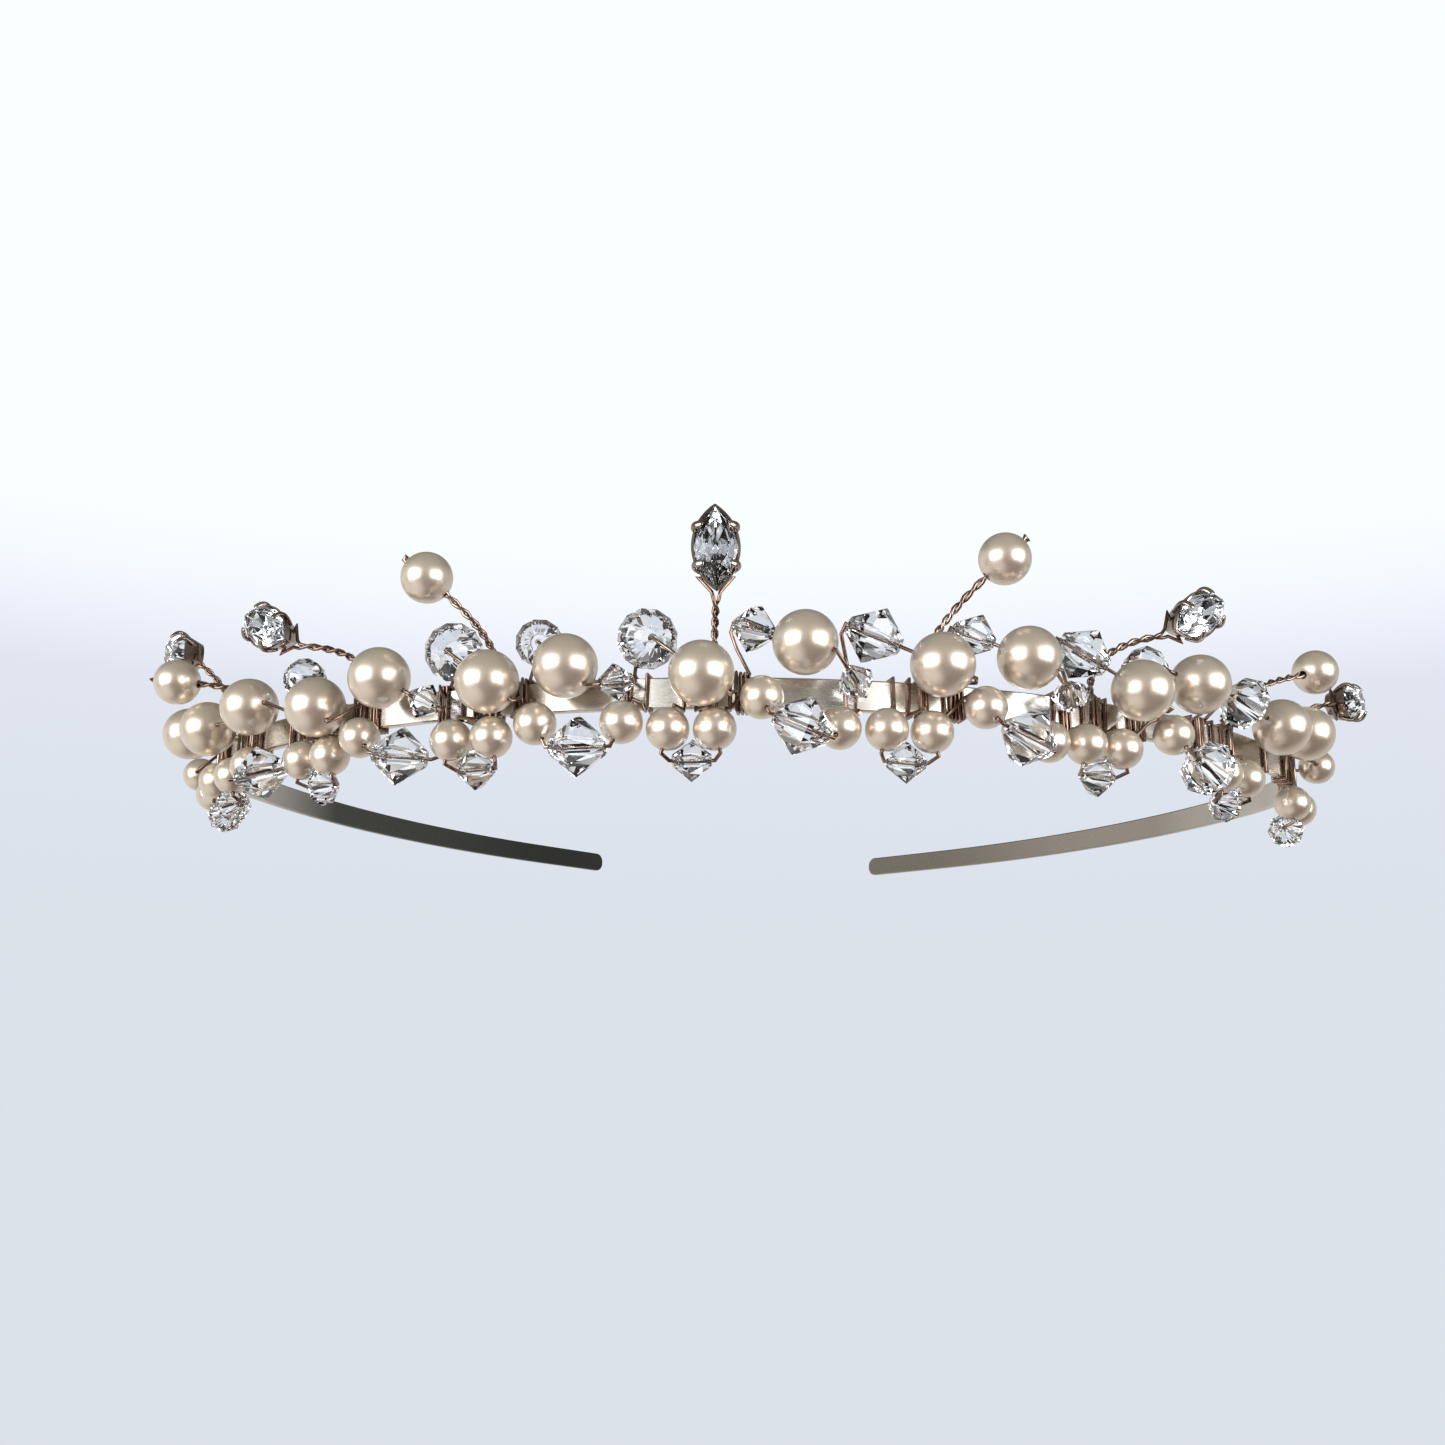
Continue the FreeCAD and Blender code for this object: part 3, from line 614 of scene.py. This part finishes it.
def joined(parts: list[bpy.types.Object]) -> bpy.types.Object:
    """Join objects into the first of them.

    Args:
        parts: the objects.

    Returns:
        The joined object.
    """
    if len(parts) > 1:
        bpy.ops.object.select_all(action="DESELECT")
        for part in parts:
            part.select_set(True)
        bpy.context.view_layer.objects.active = parts[0]
        bpy.ops.object.join()
    return parts[0]


def add_ring(corners: int, place: tuple[float, float, float], turn: tuple[float, float, float],
             reach: tuple[float, float]) -> bpy.types.Object:
    """Add a ring of corners joined by edges, its place in its mesh.

    Args:
        corners: how many corners it has.
        place: its middle.
        turn: its angles about X, Y and Z.
        reach: its half widths across and up, before it is turned.

    Returns:
        The ring.
    """
    bpy.ops.mesh.primitive_circle_add(vertices=corners, radius=1.0, location=place, rotation=turn)
    ring = bpy.context.object
    ring.scale = (*reach, 1.0)
    bpy.ops.object.transform_apply(location=True, rotation=True, scale=True)
    return ring


def dress(obj: bpy.types.Object, material: bpy.types.Material) -> None:
    """Give an object one material, in every slot that it has.

    Args:
        obj: the object.
        material: what it is made of.
    """
    if not obj.data.materials:
        obj.data.materials.append(material)
    for index in range(len(obj.data.materials)):
        obj.material_slots[index].material = material


def lay_out(pattern: bpy.types.Object, places: Iterable[Matrix], name: str) -> bpy.types.Object:
    """Copy a pattern piece to each place, its place in its mesh, and join the copies.

    Args:
        pattern: the piece made at the origin.
        places: one matrix for each copy.
        name: the joined object's name.

    Returns:
        The joined object.
    """
    copies = []
    for place in places:
        copy = pattern.copy()
        copy.data = pattern.data.copy()
        copy.data.transform(place)
        bpy.context.scene.collection.objects.link(copy)
        copies.append(copy)
    whole = joined(copies)
    whole.name = name
    return whole


def copy_of_node(node: str, name: str) -> bpy.types.Object:
    """Copy a CAD node's mesh, merged, to a new object, which is left selected alone.

    Args:
        node: the CAD node's name.
        name: the copy's name.

    Returns:
        The copy.
    """
    mesh = frame["nodes"][node].data.copy()
    obj = bpy.data.objects.new(name, mesh)
    bpy.context.scene.collection.objects.link(obj)

    def merge() -> None:
        """Join the loose triangles."""
        bpy.ops.mesh.select_all(action="SELECT")
        bpy.ops.mesh.remove_doubles(threshold=WELD)

    in_edit_mode(obj, merge)
    bpy.ops.mesh.customdata_custom_splitnormals_clear()
    return obj


def smooth(obj: bpy.types.Object, angle: float) -> None:
    """Shade an object smooth, with bends sharper than the angle kept crisp."""
    only(obj)
    bpy.ops.object.shade_smooth_by_angle(angle=angle)


def ease_edges(obj: bpy.types.Object, width: float, segments: int = 1) -> None:
    """Round an object's sharp edges.

    Args:
        obj: the object.
        width: how far the rounding reaches from each edge.
        segments: how many facets it has.
    """
    only(obj)
    ease = obj.modifiers.new("ease", "BEVEL")
    ease.width = width
    ease.segments = segments
    ease.limit_method = "ANGLE"
    ease.angle_limit = SHARP_EDGE
    ease.use_clamp_overlap = True
    bpy.ops.object.modifier_apply(modifier=ease.name)


def take_over(obj: bpy.types.Object, node: str) -> None:
    """Let a piece stand for a CAD node and ride on its body, with the node hidden.

    Args:
        obj: the piece.
        node: the CAD node's name.
    """
    body = frame["nodes"][node]["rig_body"]
    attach(obj, body)
    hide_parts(node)
    log.info("%s stands for %s", obj.name, node)


# ------------------------------------------------------------------ the tiara's sub-assemblies
@dataclass
class Pearls:
    """All the pearls: smooth drilled spheres with a flat rim round each hole."""

    finish: bpy.types.Material
    nodes: list[str]
    segments: int = 64
    rings: int = 32
    rim: float = 0.05 * MM
    crisp: float = math.radians(50)
    size_step: float = 0.25 * MM

    def pattern(self, radius: float, bore: float) -> bpy.types.Object:
        """Model one drilled pearl along Z at the origin.

        Args:
            radius: of the pearl.
            bore: radius of its hole.

        Returns:
            The pearl.
        """
        bpy.ops.mesh.primitive_uv_sphere_add(segments=self.segments, ring_count=self.rings, radius=radius)
        pearl = bpy.context.object
        ring_angle = math.pi / self.rings
        skip = max(1, math.ceil(math.asin(min(1.0, (bore + self.rim) / radius)) / ring_angle))
        mouth = radius * math.cos(skip * ring_angle)
        loop = radius * math.sin(skip * ring_angle)
        hair = radius * 1e-4

        def drill() -> None:
            """Open both poles, draw the openings in to the bore and join them through the pearl."""
            pick(pearl, lambda co: abs(co.z) > mouth + hair)
            bpy.ops.mesh.delete(type="VERT")
            pick(pearl, lambda co: abs(co.z) > mouth - hair)
            bpy.ops.mesh.extrude_region_move()
            factor = bore / loop
            bpy.ops.transform.resize(value=(factor, factor, 1.0), center_override=(0.0, 0.0, 0.0))
            bpy.ops.mesh.bridge_edge_loops()
            face_outwards()

        in_edit_mode(pearl, drill)
        smooth(pearl, self.crisp)
        return pearl

    def build(self) -> None:
        """Replace every pearl node, with one pattern for all its pearls of a size."""
        for node in self.nodes:
            groups: dict[int, list[Bead]] = {}
            for bead in beads_of(node):
                groups.setdefault(round(bead.radius / self.size_step), []).append(bead)
            parts = []
            for alike in groups.values():
                pattern = self.pattern(alike[0].radius, alike[0].bore)
                parts.append(lay_out(pattern, [bead.placement() for bead in alike], node + "_glossy"))
                bpy.data.objects.remove(pattern)
            piece = joined(parts)
            dress(piece, self.finish)
            take_over(piece, node)


@dataclass
class Wires:
    """Binding wire: each CAD wire drawn smooth, its bends kept crisp.

    The hairpin is a bend of one wire whose mitre runs far out along a line. The corners beyond the hairpin's
    reach are drawn in to a share of their distance.
    """

    finish: bpy.types.Material
    nodes: list[str]
    crisp: float = math.radians(50)
    hairpin_node: str = "garland_wires"
    hairpin: Vector = field(default_factory=lambda: Vector((-30.515, -54.09, 7.08)) * MM)
    hairpin_line: Vector = field(default_factory=lambda: Vector((0.4146, 0.91, 0.0)))
    hairpin_reach: float = 5.0 * MM
    hairpin_share: float = 0.016

    def blunt_hairpin(self, wire: bpy.types.Object) -> None:
        """Draw the long sharp mitre of a wire's hairpin bend under the strip back to the wire's own width.

        Args:
            wire: the copy of the wires' node.
        """

        def thrown_out(co: Vector) -> bool:
            """Tell whether a corner lies far out on the mitre's line.

            Args:
                co: the corner's place.

            Returns:
                True for a corner that is to be drawn in.
            """
            away = co - self.hairpin
            along = away.dot(self.hairpin_line)
            beside = (away - along * self.hairpin_line).length
            return abs(along) > self.hairpin_reach and beside < WIRE_WIDTH

        def draw_in() -> None:
            """Draw the thrown-out corners in towards the bend."""
            pick(wire, thrown_out)
            bpy.ops.transform.resize(value=(self.hairpin_share, self.hairpin_share, 1.0),
                                     center_override=self.hairpin)

        in_edit_mode(wire, draw_in)

    def build(self) -> None:
        """Replace every wire node."""
        for node in self.nodes:
            wire = copy_of_node(node, node + "_drawn")
            if node == self.hairpin_node:
                self.blunt_hairpin(wire)
            smooth(wire, self.crisp)
            dress(wire, self.finish)
            take_over(wire, node)


@dataclass
class Headband:
    """The strip, smooth round its bend and crisp along its edges."""

    finish: bpy.types.Material
    node: str = "band"
    crisp: float = math.radians(20)

    def build(self) -> None:
        """Smooth the strip's long faces and dress it."""
        strip = copy_of_node(self.node, "strip_plated")
        smooth(strip, self.crisp)
        dress(strip, self.finish)
        take_over(strip, self.node)


@dataclass(frozen=True)
class CutProfile:
    """How a glass bead is cut: corners in each ring, and the rings from one end up to the middle.

    A ring is its radius as a share of the bead's, and its height as a share of half the length. The bore is
    at least a share of the bead's radius.
    """

    corners: int
    rings: tuple[tuple[float, float], ...]
    bore_share: float


class Cut(Enum):
    """The two cuts of bead on the tiara."""

    BICONE = CutProfile(8, ((0.29, 1.0),), 0.16)
    ROUND = CutProfile(12, ((0.36, 1.0), (0.80, 0.60)), 0.15)


@dataclass
class CutGlass:
    """Faceted beads along their own bores, every facet flat."""

    finish: bpy.types.Material
    nodes: list[str]
    cut: Cut

    def pattern(self, bead: Bead) -> bpy.types.Object:
        """Model one bead along Z at the origin: rings of corners, each half a step round from the last.

        Args:
            bead: the place and size that it stands for.

        Returns:
            The bead.
        """
        cut = self.cut.value
        below = [(share * bead.girdle, -rise * bead.length / 2) for share, rise in cut.rings]
        above = [(radius, -height) for radius, height in reversed(below)]
        bore = max(bead.bore, cut.bore_share * bead.girdle)
        rings = [(bore, below[0][1]), *below, (bead.girdle, 0.0), *above, (bore, above[-1][1])]
        half_step = math.pi / cut.corners
        piece = joined([add_ring(cut.corners, (0.0, 0.0, height), (0.0, 0.0, half_step * (step % 2)),
                                 (radius, radius)) for step, (radius, height) in enumerate(rings)])

        def skin() -> None:
            """Bridge each ring to the next, and the last to the first through the bore."""
            for lower, upper in zip(rings, rings[1:] + rings[:1]):
                pick_rings(piece, (lower, upper))
                bpy.ops.mesh.bridge_edge_loops()
            bpy.ops.mesh.select_all(action="SELECT")
            bpy.ops.mesh.quads_convert_to_tris(quad_method="SHORTEST_DIAGONAL")
            face_outwards()

        in_edit_mode(piece, skin)
        return piece

    def build(self) -> None:
        """Replace each node, with a pattern of its own for each bead."""
        for node in self.nodes:
            parts = []
            for bead in beads_of(node):
                pattern = self.pattern(bead)
                parts.append(lay_out(pattern, [bead.placement()], node + "_cut"))
                bpy.data.objects.remove(pattern)
            piece = joined(parts)
            dress(piece, self.finish)
            take_over(piece, node)


@dataclass
class FoiledStones:
    """Navettes: clear above the girdle, mirror foil on the pavilion behind."""

    glass: bpy.types.Material
    foil: bpy.types.Material
    nodes: list[str]
    arris: float = 0.025 * MM
    foil_from: float = -0.1              # a face is foiled if its cosine to the table is under this

    def build(self) -> None:
        """Replace each node."""
        for node in self.nodes:
            stone = copy_of_node(node, node + "_foiled")
            bpy.ops.object.shade_flat()
            ease_edges(stone, self.arris)
            facing = table_normal(stone)
            stone.data.materials.clear()
            stone.data.materials.append(self.glass)
            stone.data.materials.append(self.foil)
            for face in stone.data.polygons:
                face.material_index = int(face.normal.dot(facing) < self.foil_from)
            take_over(stone, node)


@dataclass
class Settings:
    """Pointed-oval cups with four rounded prongs folded over the stone; the sizes are the CAD's.

    Each entry of a prong's path is how far out, how high and half how thick it is, in millimetres.
    """

    finish: bpy.types.Material
    nodes: list[str]
    length: float = 8.67 * MM
    width: float = 4.6 * MM
    height: float = 2.33 * MM
    back_share: float = 0.66
    hollow_share: float = 0.70
    wall: float = 0.24 * MM
    floor: float = 0.35 * MM
    bar_corners: int = 128
    rim_easing: float = 0.05 * MM
    crisp: float = math.radians(35)
    prong_station: float = 1.9 * MM
    prong_width: float = 0.78 * MM
    prong_corners: int = 10
    prong_full: float = 0.18 * MM        # half thickness below which a prong narrows too
    prong_path: tuple[tuple[float, float, float], ...] = (
        (1.40, 1.00, 0.20), (1.72, 1.50, 0.22), (2.00, 2.00, 0.24), (2.11, 2.42, 0.24),
        (2.01, 2.80, 0.24), (1.72, 3.10, 0.22), (1.36, 3.36, 0.18), (1.16, 3.46, 0.10))

    def build(self) -> None:
        """Model one setting and lay it into every node's place.

        Mirrored prongs come out inside out, so the joined pattern's faces are turned outwards.
        """
        parts = [self.cup()]
        prong = self.prong()
        for side in (-1, 1):
            for end in (-1, 1):
                flip = Matrix.Diagonal((end, side, 1.0, 1.0))
                shift = Matrix.Translation((end * self.prong_station, 0.0, 0.0))
                parts.append(lay_out(prong, [shift @ flip], "prong"))
        bpy.data.objects.remove(prong)
        pattern = joined(parts)
        in_edit_mode(pattern, face_outwards)
        smooth(pattern, self.crisp)
        dress(pattern, self.finish)
        for node in self.nodes:
            setting = lay_out(pattern, [self.place_of(node)], node + "_polished")
            take_over(setting, node)
        bpy.data.objects.remove(pattern)

    def cup(self) -> bpy.types.Object:
        """Model the cup: where two round bars meet, narrowed to its back and hollowed from the front.

        Returns:
            The cup, long along X with its back at z = 0.
        """
        half, reach = self.width / 2, self.length / 2
        radius = (reach * reach + half * half) / (2 * half)
        bars = []
        for side in (-1, 1):
            middle = (0.0, side * (radius - half), self.height / 2)
            bpy.ops.mesh.primitive_cylinder_add(vertices=self.bar_corners, radius=radius, depth=self.height,
                                                location=middle)
            bpy.ops.object.transform_apply(location=True, rotation=True, scale=True)
            bars.append(bpy.context.object)
        cup, other = bars
        only(cup)
        meet = cup.modifiers.new("meet", "BOOLEAN")
        meet.operation = "INTERSECT"
        meet.object = other
        bpy.ops.object.modifier_apply(modifier=meet.name)
        bpy.data.objects.remove(other)
        hair = self.height * 1e-3
        centre = (0.0, 0.0, 0.0)

        def hollow() -> None:
            """Narrow the back and sink the inside, its floor narrowed to the hollow's share."""
            pick(cup, lambda co: co.z < hair)
            bpy.ops.transform.resize(value=(self.back_share, self.back_share, 1.0), center_override=centre)
            pick(cup, lambda co: co.z > self.height - hair)
            bpy.ops.mesh.inset(thickness=self.wall)
            bpy.ops.mesh.extrude_region_move(
                TRANSFORM_OT_translate={"value": (0.0, 0.0, self.floor - self.height)})
            bpy.ops.transform.resize(value=(self.hollow_share, self.hollow_share, 1.0),
                                     center_override=centre)

        in_edit_mode(cup, hollow)
        ease_edges(cup, self.rim_easing, segments=2)
        return cup

    def prong(self) -> bpy.types.Object:
        """Model one prong on the +Y side: rings along its path, bridged, capped and rounded.

        Returns:
            The prong, at x = 0.
        """
        path = [Vector((0.0, out, up)) * MM for out, up, _ in self.prong_path]
        halves = [thick * MM for _, _, thick in self.prong_path]
        rings = []
        for index, (spot, thick) in enumerate(zip(path, halves)):
            ahead = path[min(index + 1, len(path) - 1)] - path[max(index - 1, 0)]
            turn = math.atan2(ahead.z, ahead.y) - math.pi / 2
            wide = self.prong_width / 2 * min(1.0, thick / self.prong_full)
            rings.append(add_ring(self.prong_corners, spot, (turn, 0.0, 0.0), (wide, thick)))
        prong = joined(rings)

        def skin() -> None:
            """Bridge the rings and cap both ends."""
            bpy.ops.mesh.select_all(action="SELECT")
            bpy.ops.mesh.bridge_edge_loops()
            bpy.ops.mesh.select_all(action="SELECT")
            bpy.ops.mesh.fill_holes(sides=0)
            face_outwards()

        in_edit_mode(prong, skin)
        rounding = prong.modifiers.new("rounding", "SUBSURF")
        rounding.levels = rounding.render_levels = 1
        bpy.ops.object.modifier_apply(modifier=rounding.name)
        return prong

    def place_of(self, node: str) -> Matrix:
        """Read a setting's place from its stone and its own back.

        Args:
            node: the setting's CAD node.

        Returns:
            The matrix that lays the pattern there: long along X, back at z = 0.
        """
        stone_node = frame["nodes"][node.replace("setting", "stone")]
        stone = [vert.co.copy() for vert in stone_node.data.vertices]
        centre = sum(stone, Vector()) / len(stone)
        first = max(stone, key=lambda co: (co - centre).length)
        last = max(stone, key=lambda co: (co - first).length)
        along = (last - first).normalized()
        middle = (first + last) / 2
        across = table_normal(stone_node).cross(along).normalized()
        facing = along.cross(across)
        back = min((vert.co - middle).dot(facing) for vert in frame["nodes"][node].data.vertices)
        turn = Matrix((along, across, facing)).transposed().to_4x4()
        return Matrix.Translation(middle + facing * back) @ turn


# ------------------------------------------------------------------ studio
@dataclass
class Softbox:
    """A rectangular lamp turned towards a point."""

    name: str
    place: Vector
    aim: Vector
    size: tuple[float, float]
    power: float

    def build(self) -> None:
        """Add the lamp."""
        light = bpy.data.lights.new(self.name, "AREA")
        light.shape = "RECTANGLE"
        light.size, light.size_y = self.size
        light.energy = self.power
        lamp = bpy.data.objects.new(self.name, light)
        lamp.location = self.place
        lamp.rotation_euler = (self.aim - self.place).to_track_quat("-Z", "Y").to_euler()
        bpy.context.scene.collection.objects.link(lamp)


@dataclass
class Studio:
    """Camera, floor, surroundings and lamps.

    The stops of the backdrop and the room go by one component of the direction, from -1 to 1. Each edge is
    a pair of values between which one thing gives way to the next.
    """

    camera_from_strip: Vector = field(default_factory=lambda: Vector((-7.91, -125.59, -31.87)) * MM)
    camera_turn: tuple[float, float, float] = (102.99, -0.76, -1.35)
    lens: float = 34.99
    sensor: float = 36.0
    floor_half: float = 1.5
    floor_colour: Colour = (0.82, 0.83, 0.85)
    floor_roughness: float = 0.7
    floor_lift: Colour = (0.40, 0.45, 0.50)
    floor_edge: tuple[float, float] = (0.13, 0.26)
    lamp_aim_height: float = 15.0 * MM
    lamp_reach: float = 0.45
    lamp_side: Vector = field(default_factory=lambda: Vector((0.765, -0.64, 0.06)))
    lamp_size: tuple[float, float] = (0.42, 0.28)
    lamp_power: float = 1.75
    backdrop: Stops = (
        (-0.22, (0.71, 0.76, 0.81)), (0.1, (0.71, 0.76, 0.825)), (0.235, (0.75, 0.79, 0.87)),
        (0.27, (0.85, 0.88, 0.965)), (0.3, (0.91, 0.95, 1.0)), (0.335, (0.947, 1.0, 1.0)))
    room_front: Stops = (
        (-1.0, (0.12, 0.075, 0.055)), (-0.5, (0.13, 0.085, 0.065)), (-0.2, (0.18, 0.14, 0.115)),
        (0.1, (0.26, 0.25, 0.235)), (0.5, (0.33, 0.325, 0.28)), (1.0, (0.26, 0.245, 0.20)))
    room_back: Stops = (
        (-1.0, (0.16, 0.11, 0.085)), (-0.8, (0.55, 0.50, 0.47)), (-0.4, (0.72, 0.69, 0.67)),
        (0.1, (0.66, 0.64, 0.61)), (0.4, (0.48, 0.46, 0.43)), (0.65, (0.13, 0.125, 0.105)),
        (1.0, (0.24, 0.23, 0.19)))
    room_back_edge: tuple[float, float] = (-0.15, 0.3)
    room_sides: Stops = (
        (-1.0, (1.2, 1.2, 1.2)), (-0.4, (1.0, 1.0, 1.0)), (0.3, (1.0, 1.0, 1.0)), (0.8, (0.75, 0.75, 0.75)))
    glow_side: Vector = field(default_factory=lambda: Vector((-0.65, -0.3, -0.7)))
    glow: Colour = (0.78, 0.74, 0.70)
    glow_edge: tuple[float, float] = (0.72, 0.95)
    clutter_scale: float = 2.6
    clutter: Stops = (
        (0.455, (0.015, 0.015, 0.017)), (0.50, (0.14, 0.135, 0.13)), (0.55, (0.62, 0.62, 0.62)),
        (0.62, (1.15, 1.15, 1.16)))
    front_fill: Colour = (0.60, 0.61, 0.63)
    front_edge: tuple[float, float] = (-0.97, -0.6)
    behind_edge: tuple[float, float] = (0.74, 0.92)

    def build(self) -> None:
        """Set up the whole studio."""
        self.add_camera()
        self.add_floor()
        self.add_world()
        self.add_lamps()
        bpy.context.scene.view_settings.view_transform = "Standard"

    def add_lamps(self) -> None:
        """Add a softbox on each side, in front of the tiara and turned towards its brow."""
        front = Vector((0.0, CAD_BOX[0].y, self.lamp_aim_height))
        for name, side in (("softbox_left", -1), ("softbox_right", 1)):
            turned = Vector((self.lamp_side.x * side, self.lamp_side.y, self.lamp_side.z))
            Softbox(name, front + turned * self.lamp_reach, front, self.lamp_size, self.lamp_power).build()

    def add_camera(self) -> None:
        """Add the camera at its place from the middle of the strip's front."""
        data = bpy.data.cameras.new("view")
        data.lens = self.lens
        data.sensor_width = self.sensor
        data.clip_start = MM
        camera = bpy.data.objects.new("view", data)
        low, high = (Vector(corner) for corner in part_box("band"))
        strip_front = Vector(((low.x + high.x) / 2, low.y, (low.z + high.z) / 2))
        camera.location = strip_front + self.camera_from_strip
        camera.rotation_euler = [math.radians(angle) for angle in self.camera_turn]
        bpy.context.scene.collection.objects.link(camera)
        bpy.context.scene.camera = camera

    def add_floor(self) -> None:
        """Add a pale floor that melts into the backdrop further out.

        It shows from above only, and glass and metal see past it to the surroundings.
        """
        bpy.ops.object.select_all(action="DESELECT")
        bpy.ops.mesh.primitive_plane_add(size=2 * self.floor_half)
        floor = bpy.context.object
        floor.name = "floor"
        floor.data.materials.append(self.floor_finish())

    def floor_finish(self) -> bpy.types.Material:
        """Make the floor's material.

        Returns:
            The material: matt and pale, lifted for the camera alone, and clear wherever the floor has to
            stay out of sight.
        """
        material = bpy.data.materials.new("pale_floor")
        material.use_nodes = True
        sheet = NodeSheet(material.node_tree)
        shader = material.node_tree.nodes["Principled BSDF"]
        seen = sheet.add("LightPath").outputs
        shader.inputs["Base Color"].default_value = rgba(self.floor_colour)
        shader.inputs["Roughness"].default_value = self.floor_roughness
        shader.inputs["Emission Color"].default_value = rgba(self.floor_lift)
        sheet.link(seen["Is Camera Ray"], shader.inputs["Emission Strength"])
        away = sheet.add("VectorMath", operation="LENGTH")
        sheet.link(sheet.add("TexCoord").outputs["Object"], away.inputs[0])
        melted = sheet.combine("MULTIPLY", sheet.spread(away.outputs["Value"], *self.floor_edge),
                               seen["Is Camera Ray"])
        hidden = sheet.add("NewGeometry").outputs["Backfacing"]
        for other in (seen["Is Glossy Ray"], seen["Is Transmission Ray"], melted):
            hidden = sheet.combine("MAXIMUM", hidden, other)
        mix = sheet.add("MixShader")
        sheet.link(hidden, mix.inputs["Fac"])
        sheet.link(shader.outputs["BSDF"], mix.inputs[1])
        sheet.link(sheet.add("BsdfTransparent").outputs["BSDF"], mix.inputs[2])
        sheet.link(mix.outputs["Shader"], material.node_tree.nodes["Material Output"].inputs["Surface"])
        return material

    def add_world(self) -> None:
        """Add the surroundings, which show each kind of ray something else.

        The camera sees the pale backdrop, and so does what passes through glass straight to the back. Other
        rays through glass see the clutter, and the rest see the room, which lights the tiara.
        """
        world = bpy.data.worlds.new("surroundings")
        bpy.context.scene.world = world
        world.use_nodes = True
        sheet = NodeSheet(world.node_tree)
        seen = sheet.add("LightPath").outputs
        direction = sheet.add("TexCoord").outputs["Generated"]
        _, back, up = sheet.directions(direction)
        backdrop = self.gradient(sheet, up, self.backdrop)
        room = self.room(sheet, direction)
        through_glass = sheet.blend(sheet.spread(back, *self.front_edge), self.front_fill,
                                    self.cluttered(sheet, direction))
        lit = sheet.blend(seen["Is Transmission Ray"], room, through_glass)
        behind = sheet.combine("MULTIPLY", seen["Is Transmission Ray"],
                               sheet.spread(back, *self.behind_edge))
        plain = sheet.combine("MAXIMUM", seen["Is Camera Ray"], behind)
        shown = sheet.blend(plain, lit, backdrop)
        sheet.link(shown, world.node_tree.nodes["Background"].inputs["Color"])

    def room(self, sheet: NodeSheet, direction: Socket) -> Socket:
        """Colour the room: dim in front, bright at the back, shaded by side, with a glow low on the left.

        Args:
            sheet: the world's nodes.
            direction: the output socket of the direction looked in.

        Returns:
            The colour output.
        """
        across, back, up = sheet.directions(direction)
        front = self.gradient(sheet, up, self.room_front)
        rear = self.gradient(sheet, up, self.room_back)
        sides = self.gradient(sheet, across, self.room_sides)
        walls = sheet.blend(sheet.spread(back, *self.room_back_edge), front, rear)
        shaded = sheet.blend(1.0, walls, sides, "MULTIPLY")
        aimed = sheet.add("VectorMath", operation="DOT_PRODUCT")
        sheet.link(direction, aimed.inputs[0])
        aimed.inputs[1].default_value = self.glow_side
        return sheet.blend(sheet.spread(aimed.outputs["Value"], *self.glow_edge), shaded, self.glow)

    def cluttered(self, sheet: NodeSheet, direction: Socket) -> Socket:
        """Colour the dark and bright things of a room that glass throws together, by direction.

        Args:
            sheet: the world's nodes.
            direction: the output socket of the direction looked in.

        Returns:
            The colour output.
        """
        clutter = sheet.add("TexNoise", in_Scale=self.clutter_scale, in_Detail=1.0)
        sheet.link(direction, clutter.inputs["Vector"])
        return sheet.ramp(clutter.outputs["Fac"], self.clutter)

    def gradient(self, sheet: NodeSheet, component: Socket, stops: Stops) -> Socket:
        """Colour a direction's component, which runs from -1 to 1.

        Args:
            sheet: the world's nodes.
            component: the output socket of the component.
            stops: component values and colours, in order.

        Returns:
            The colour output.
        """
        shares = tuple(((value + 1) / 2, colour) for value, colour in stops)
        return sheet.ramp(sheet.spread(component, -1.0, 1.0), shares)


# ------------------------------------------------------------------ build
def nodes_ending(*ends: str) -> list[str]:
    """Return the CAD nodes whose names end in one of these, sorted."""
    return [name for name in sorted(frame["nodes"]) if name.endswith(ends)]


def main() -> None:
    """Build every sub-assembly in order, then the studio."""
    shared = surface_variation()
    pearl = PearlFinish("champagne_pearl", shared).build()
    glass = CrystalFinish("cut_glass", shared).build()
    wire = MetalFinish("rose_brown_wire", shared, tones=((0.19, 0.11, 0.078), (0.45, 0.34, 0.275)),
                       roughness=(0.12, 0.26), tone_scale=260.0, relief=0.05).build()
    plate = StripFinish("silver_strip", shared, tones=((0.60, 0.57, 0.53), (0.78, 0.75, 0.71)),
                        roughness=(0.2, 0.3), tone_scale=60.0, stretch=(0.2, 0.2, 3.0), relief=0.015).build()
    claw = MetalFinish("bright_setting", shared, tones=((0.24, 0.185, 0.15), (0.56, 0.50, 0.45)),
                       roughness=(0.08, 0.18), tone_scale=200.0, relief=0.03).build()
    foil = MetalFinish("silver_foil", shared, tones=((0.80, 0.82, 0.85), (0.92, 0.93, 0.95)),
                       roughness=(0.02, 0.06), tone_scale=400.0, relief=0.02).build()
    wires = nodes_ending("wire", "wires", "stalk")
    pearls = [name for name in sorted(frame["nodes"]) if "pearl" in name and name not in wires]
    Headband(plate).build()
    Wires(wire, wires).build()
    Pearls(pearl, pearls).build()
    CutGlass(glass, nodes_ending("_crystal", "garland_crystals", "bicones"), Cut.BICONE).build()
    CutGlass(glass, nodes_ending("round_crystals"), Cut.ROUND).build()
    FoiledStones(glass, foil, nodes_ending("stone")).build()
    Settings(claw, nodes_ending("setting")).build()
    Studio().build()
    bpy.context.view_layer.update()


if __name__ == "__main__":
    main()
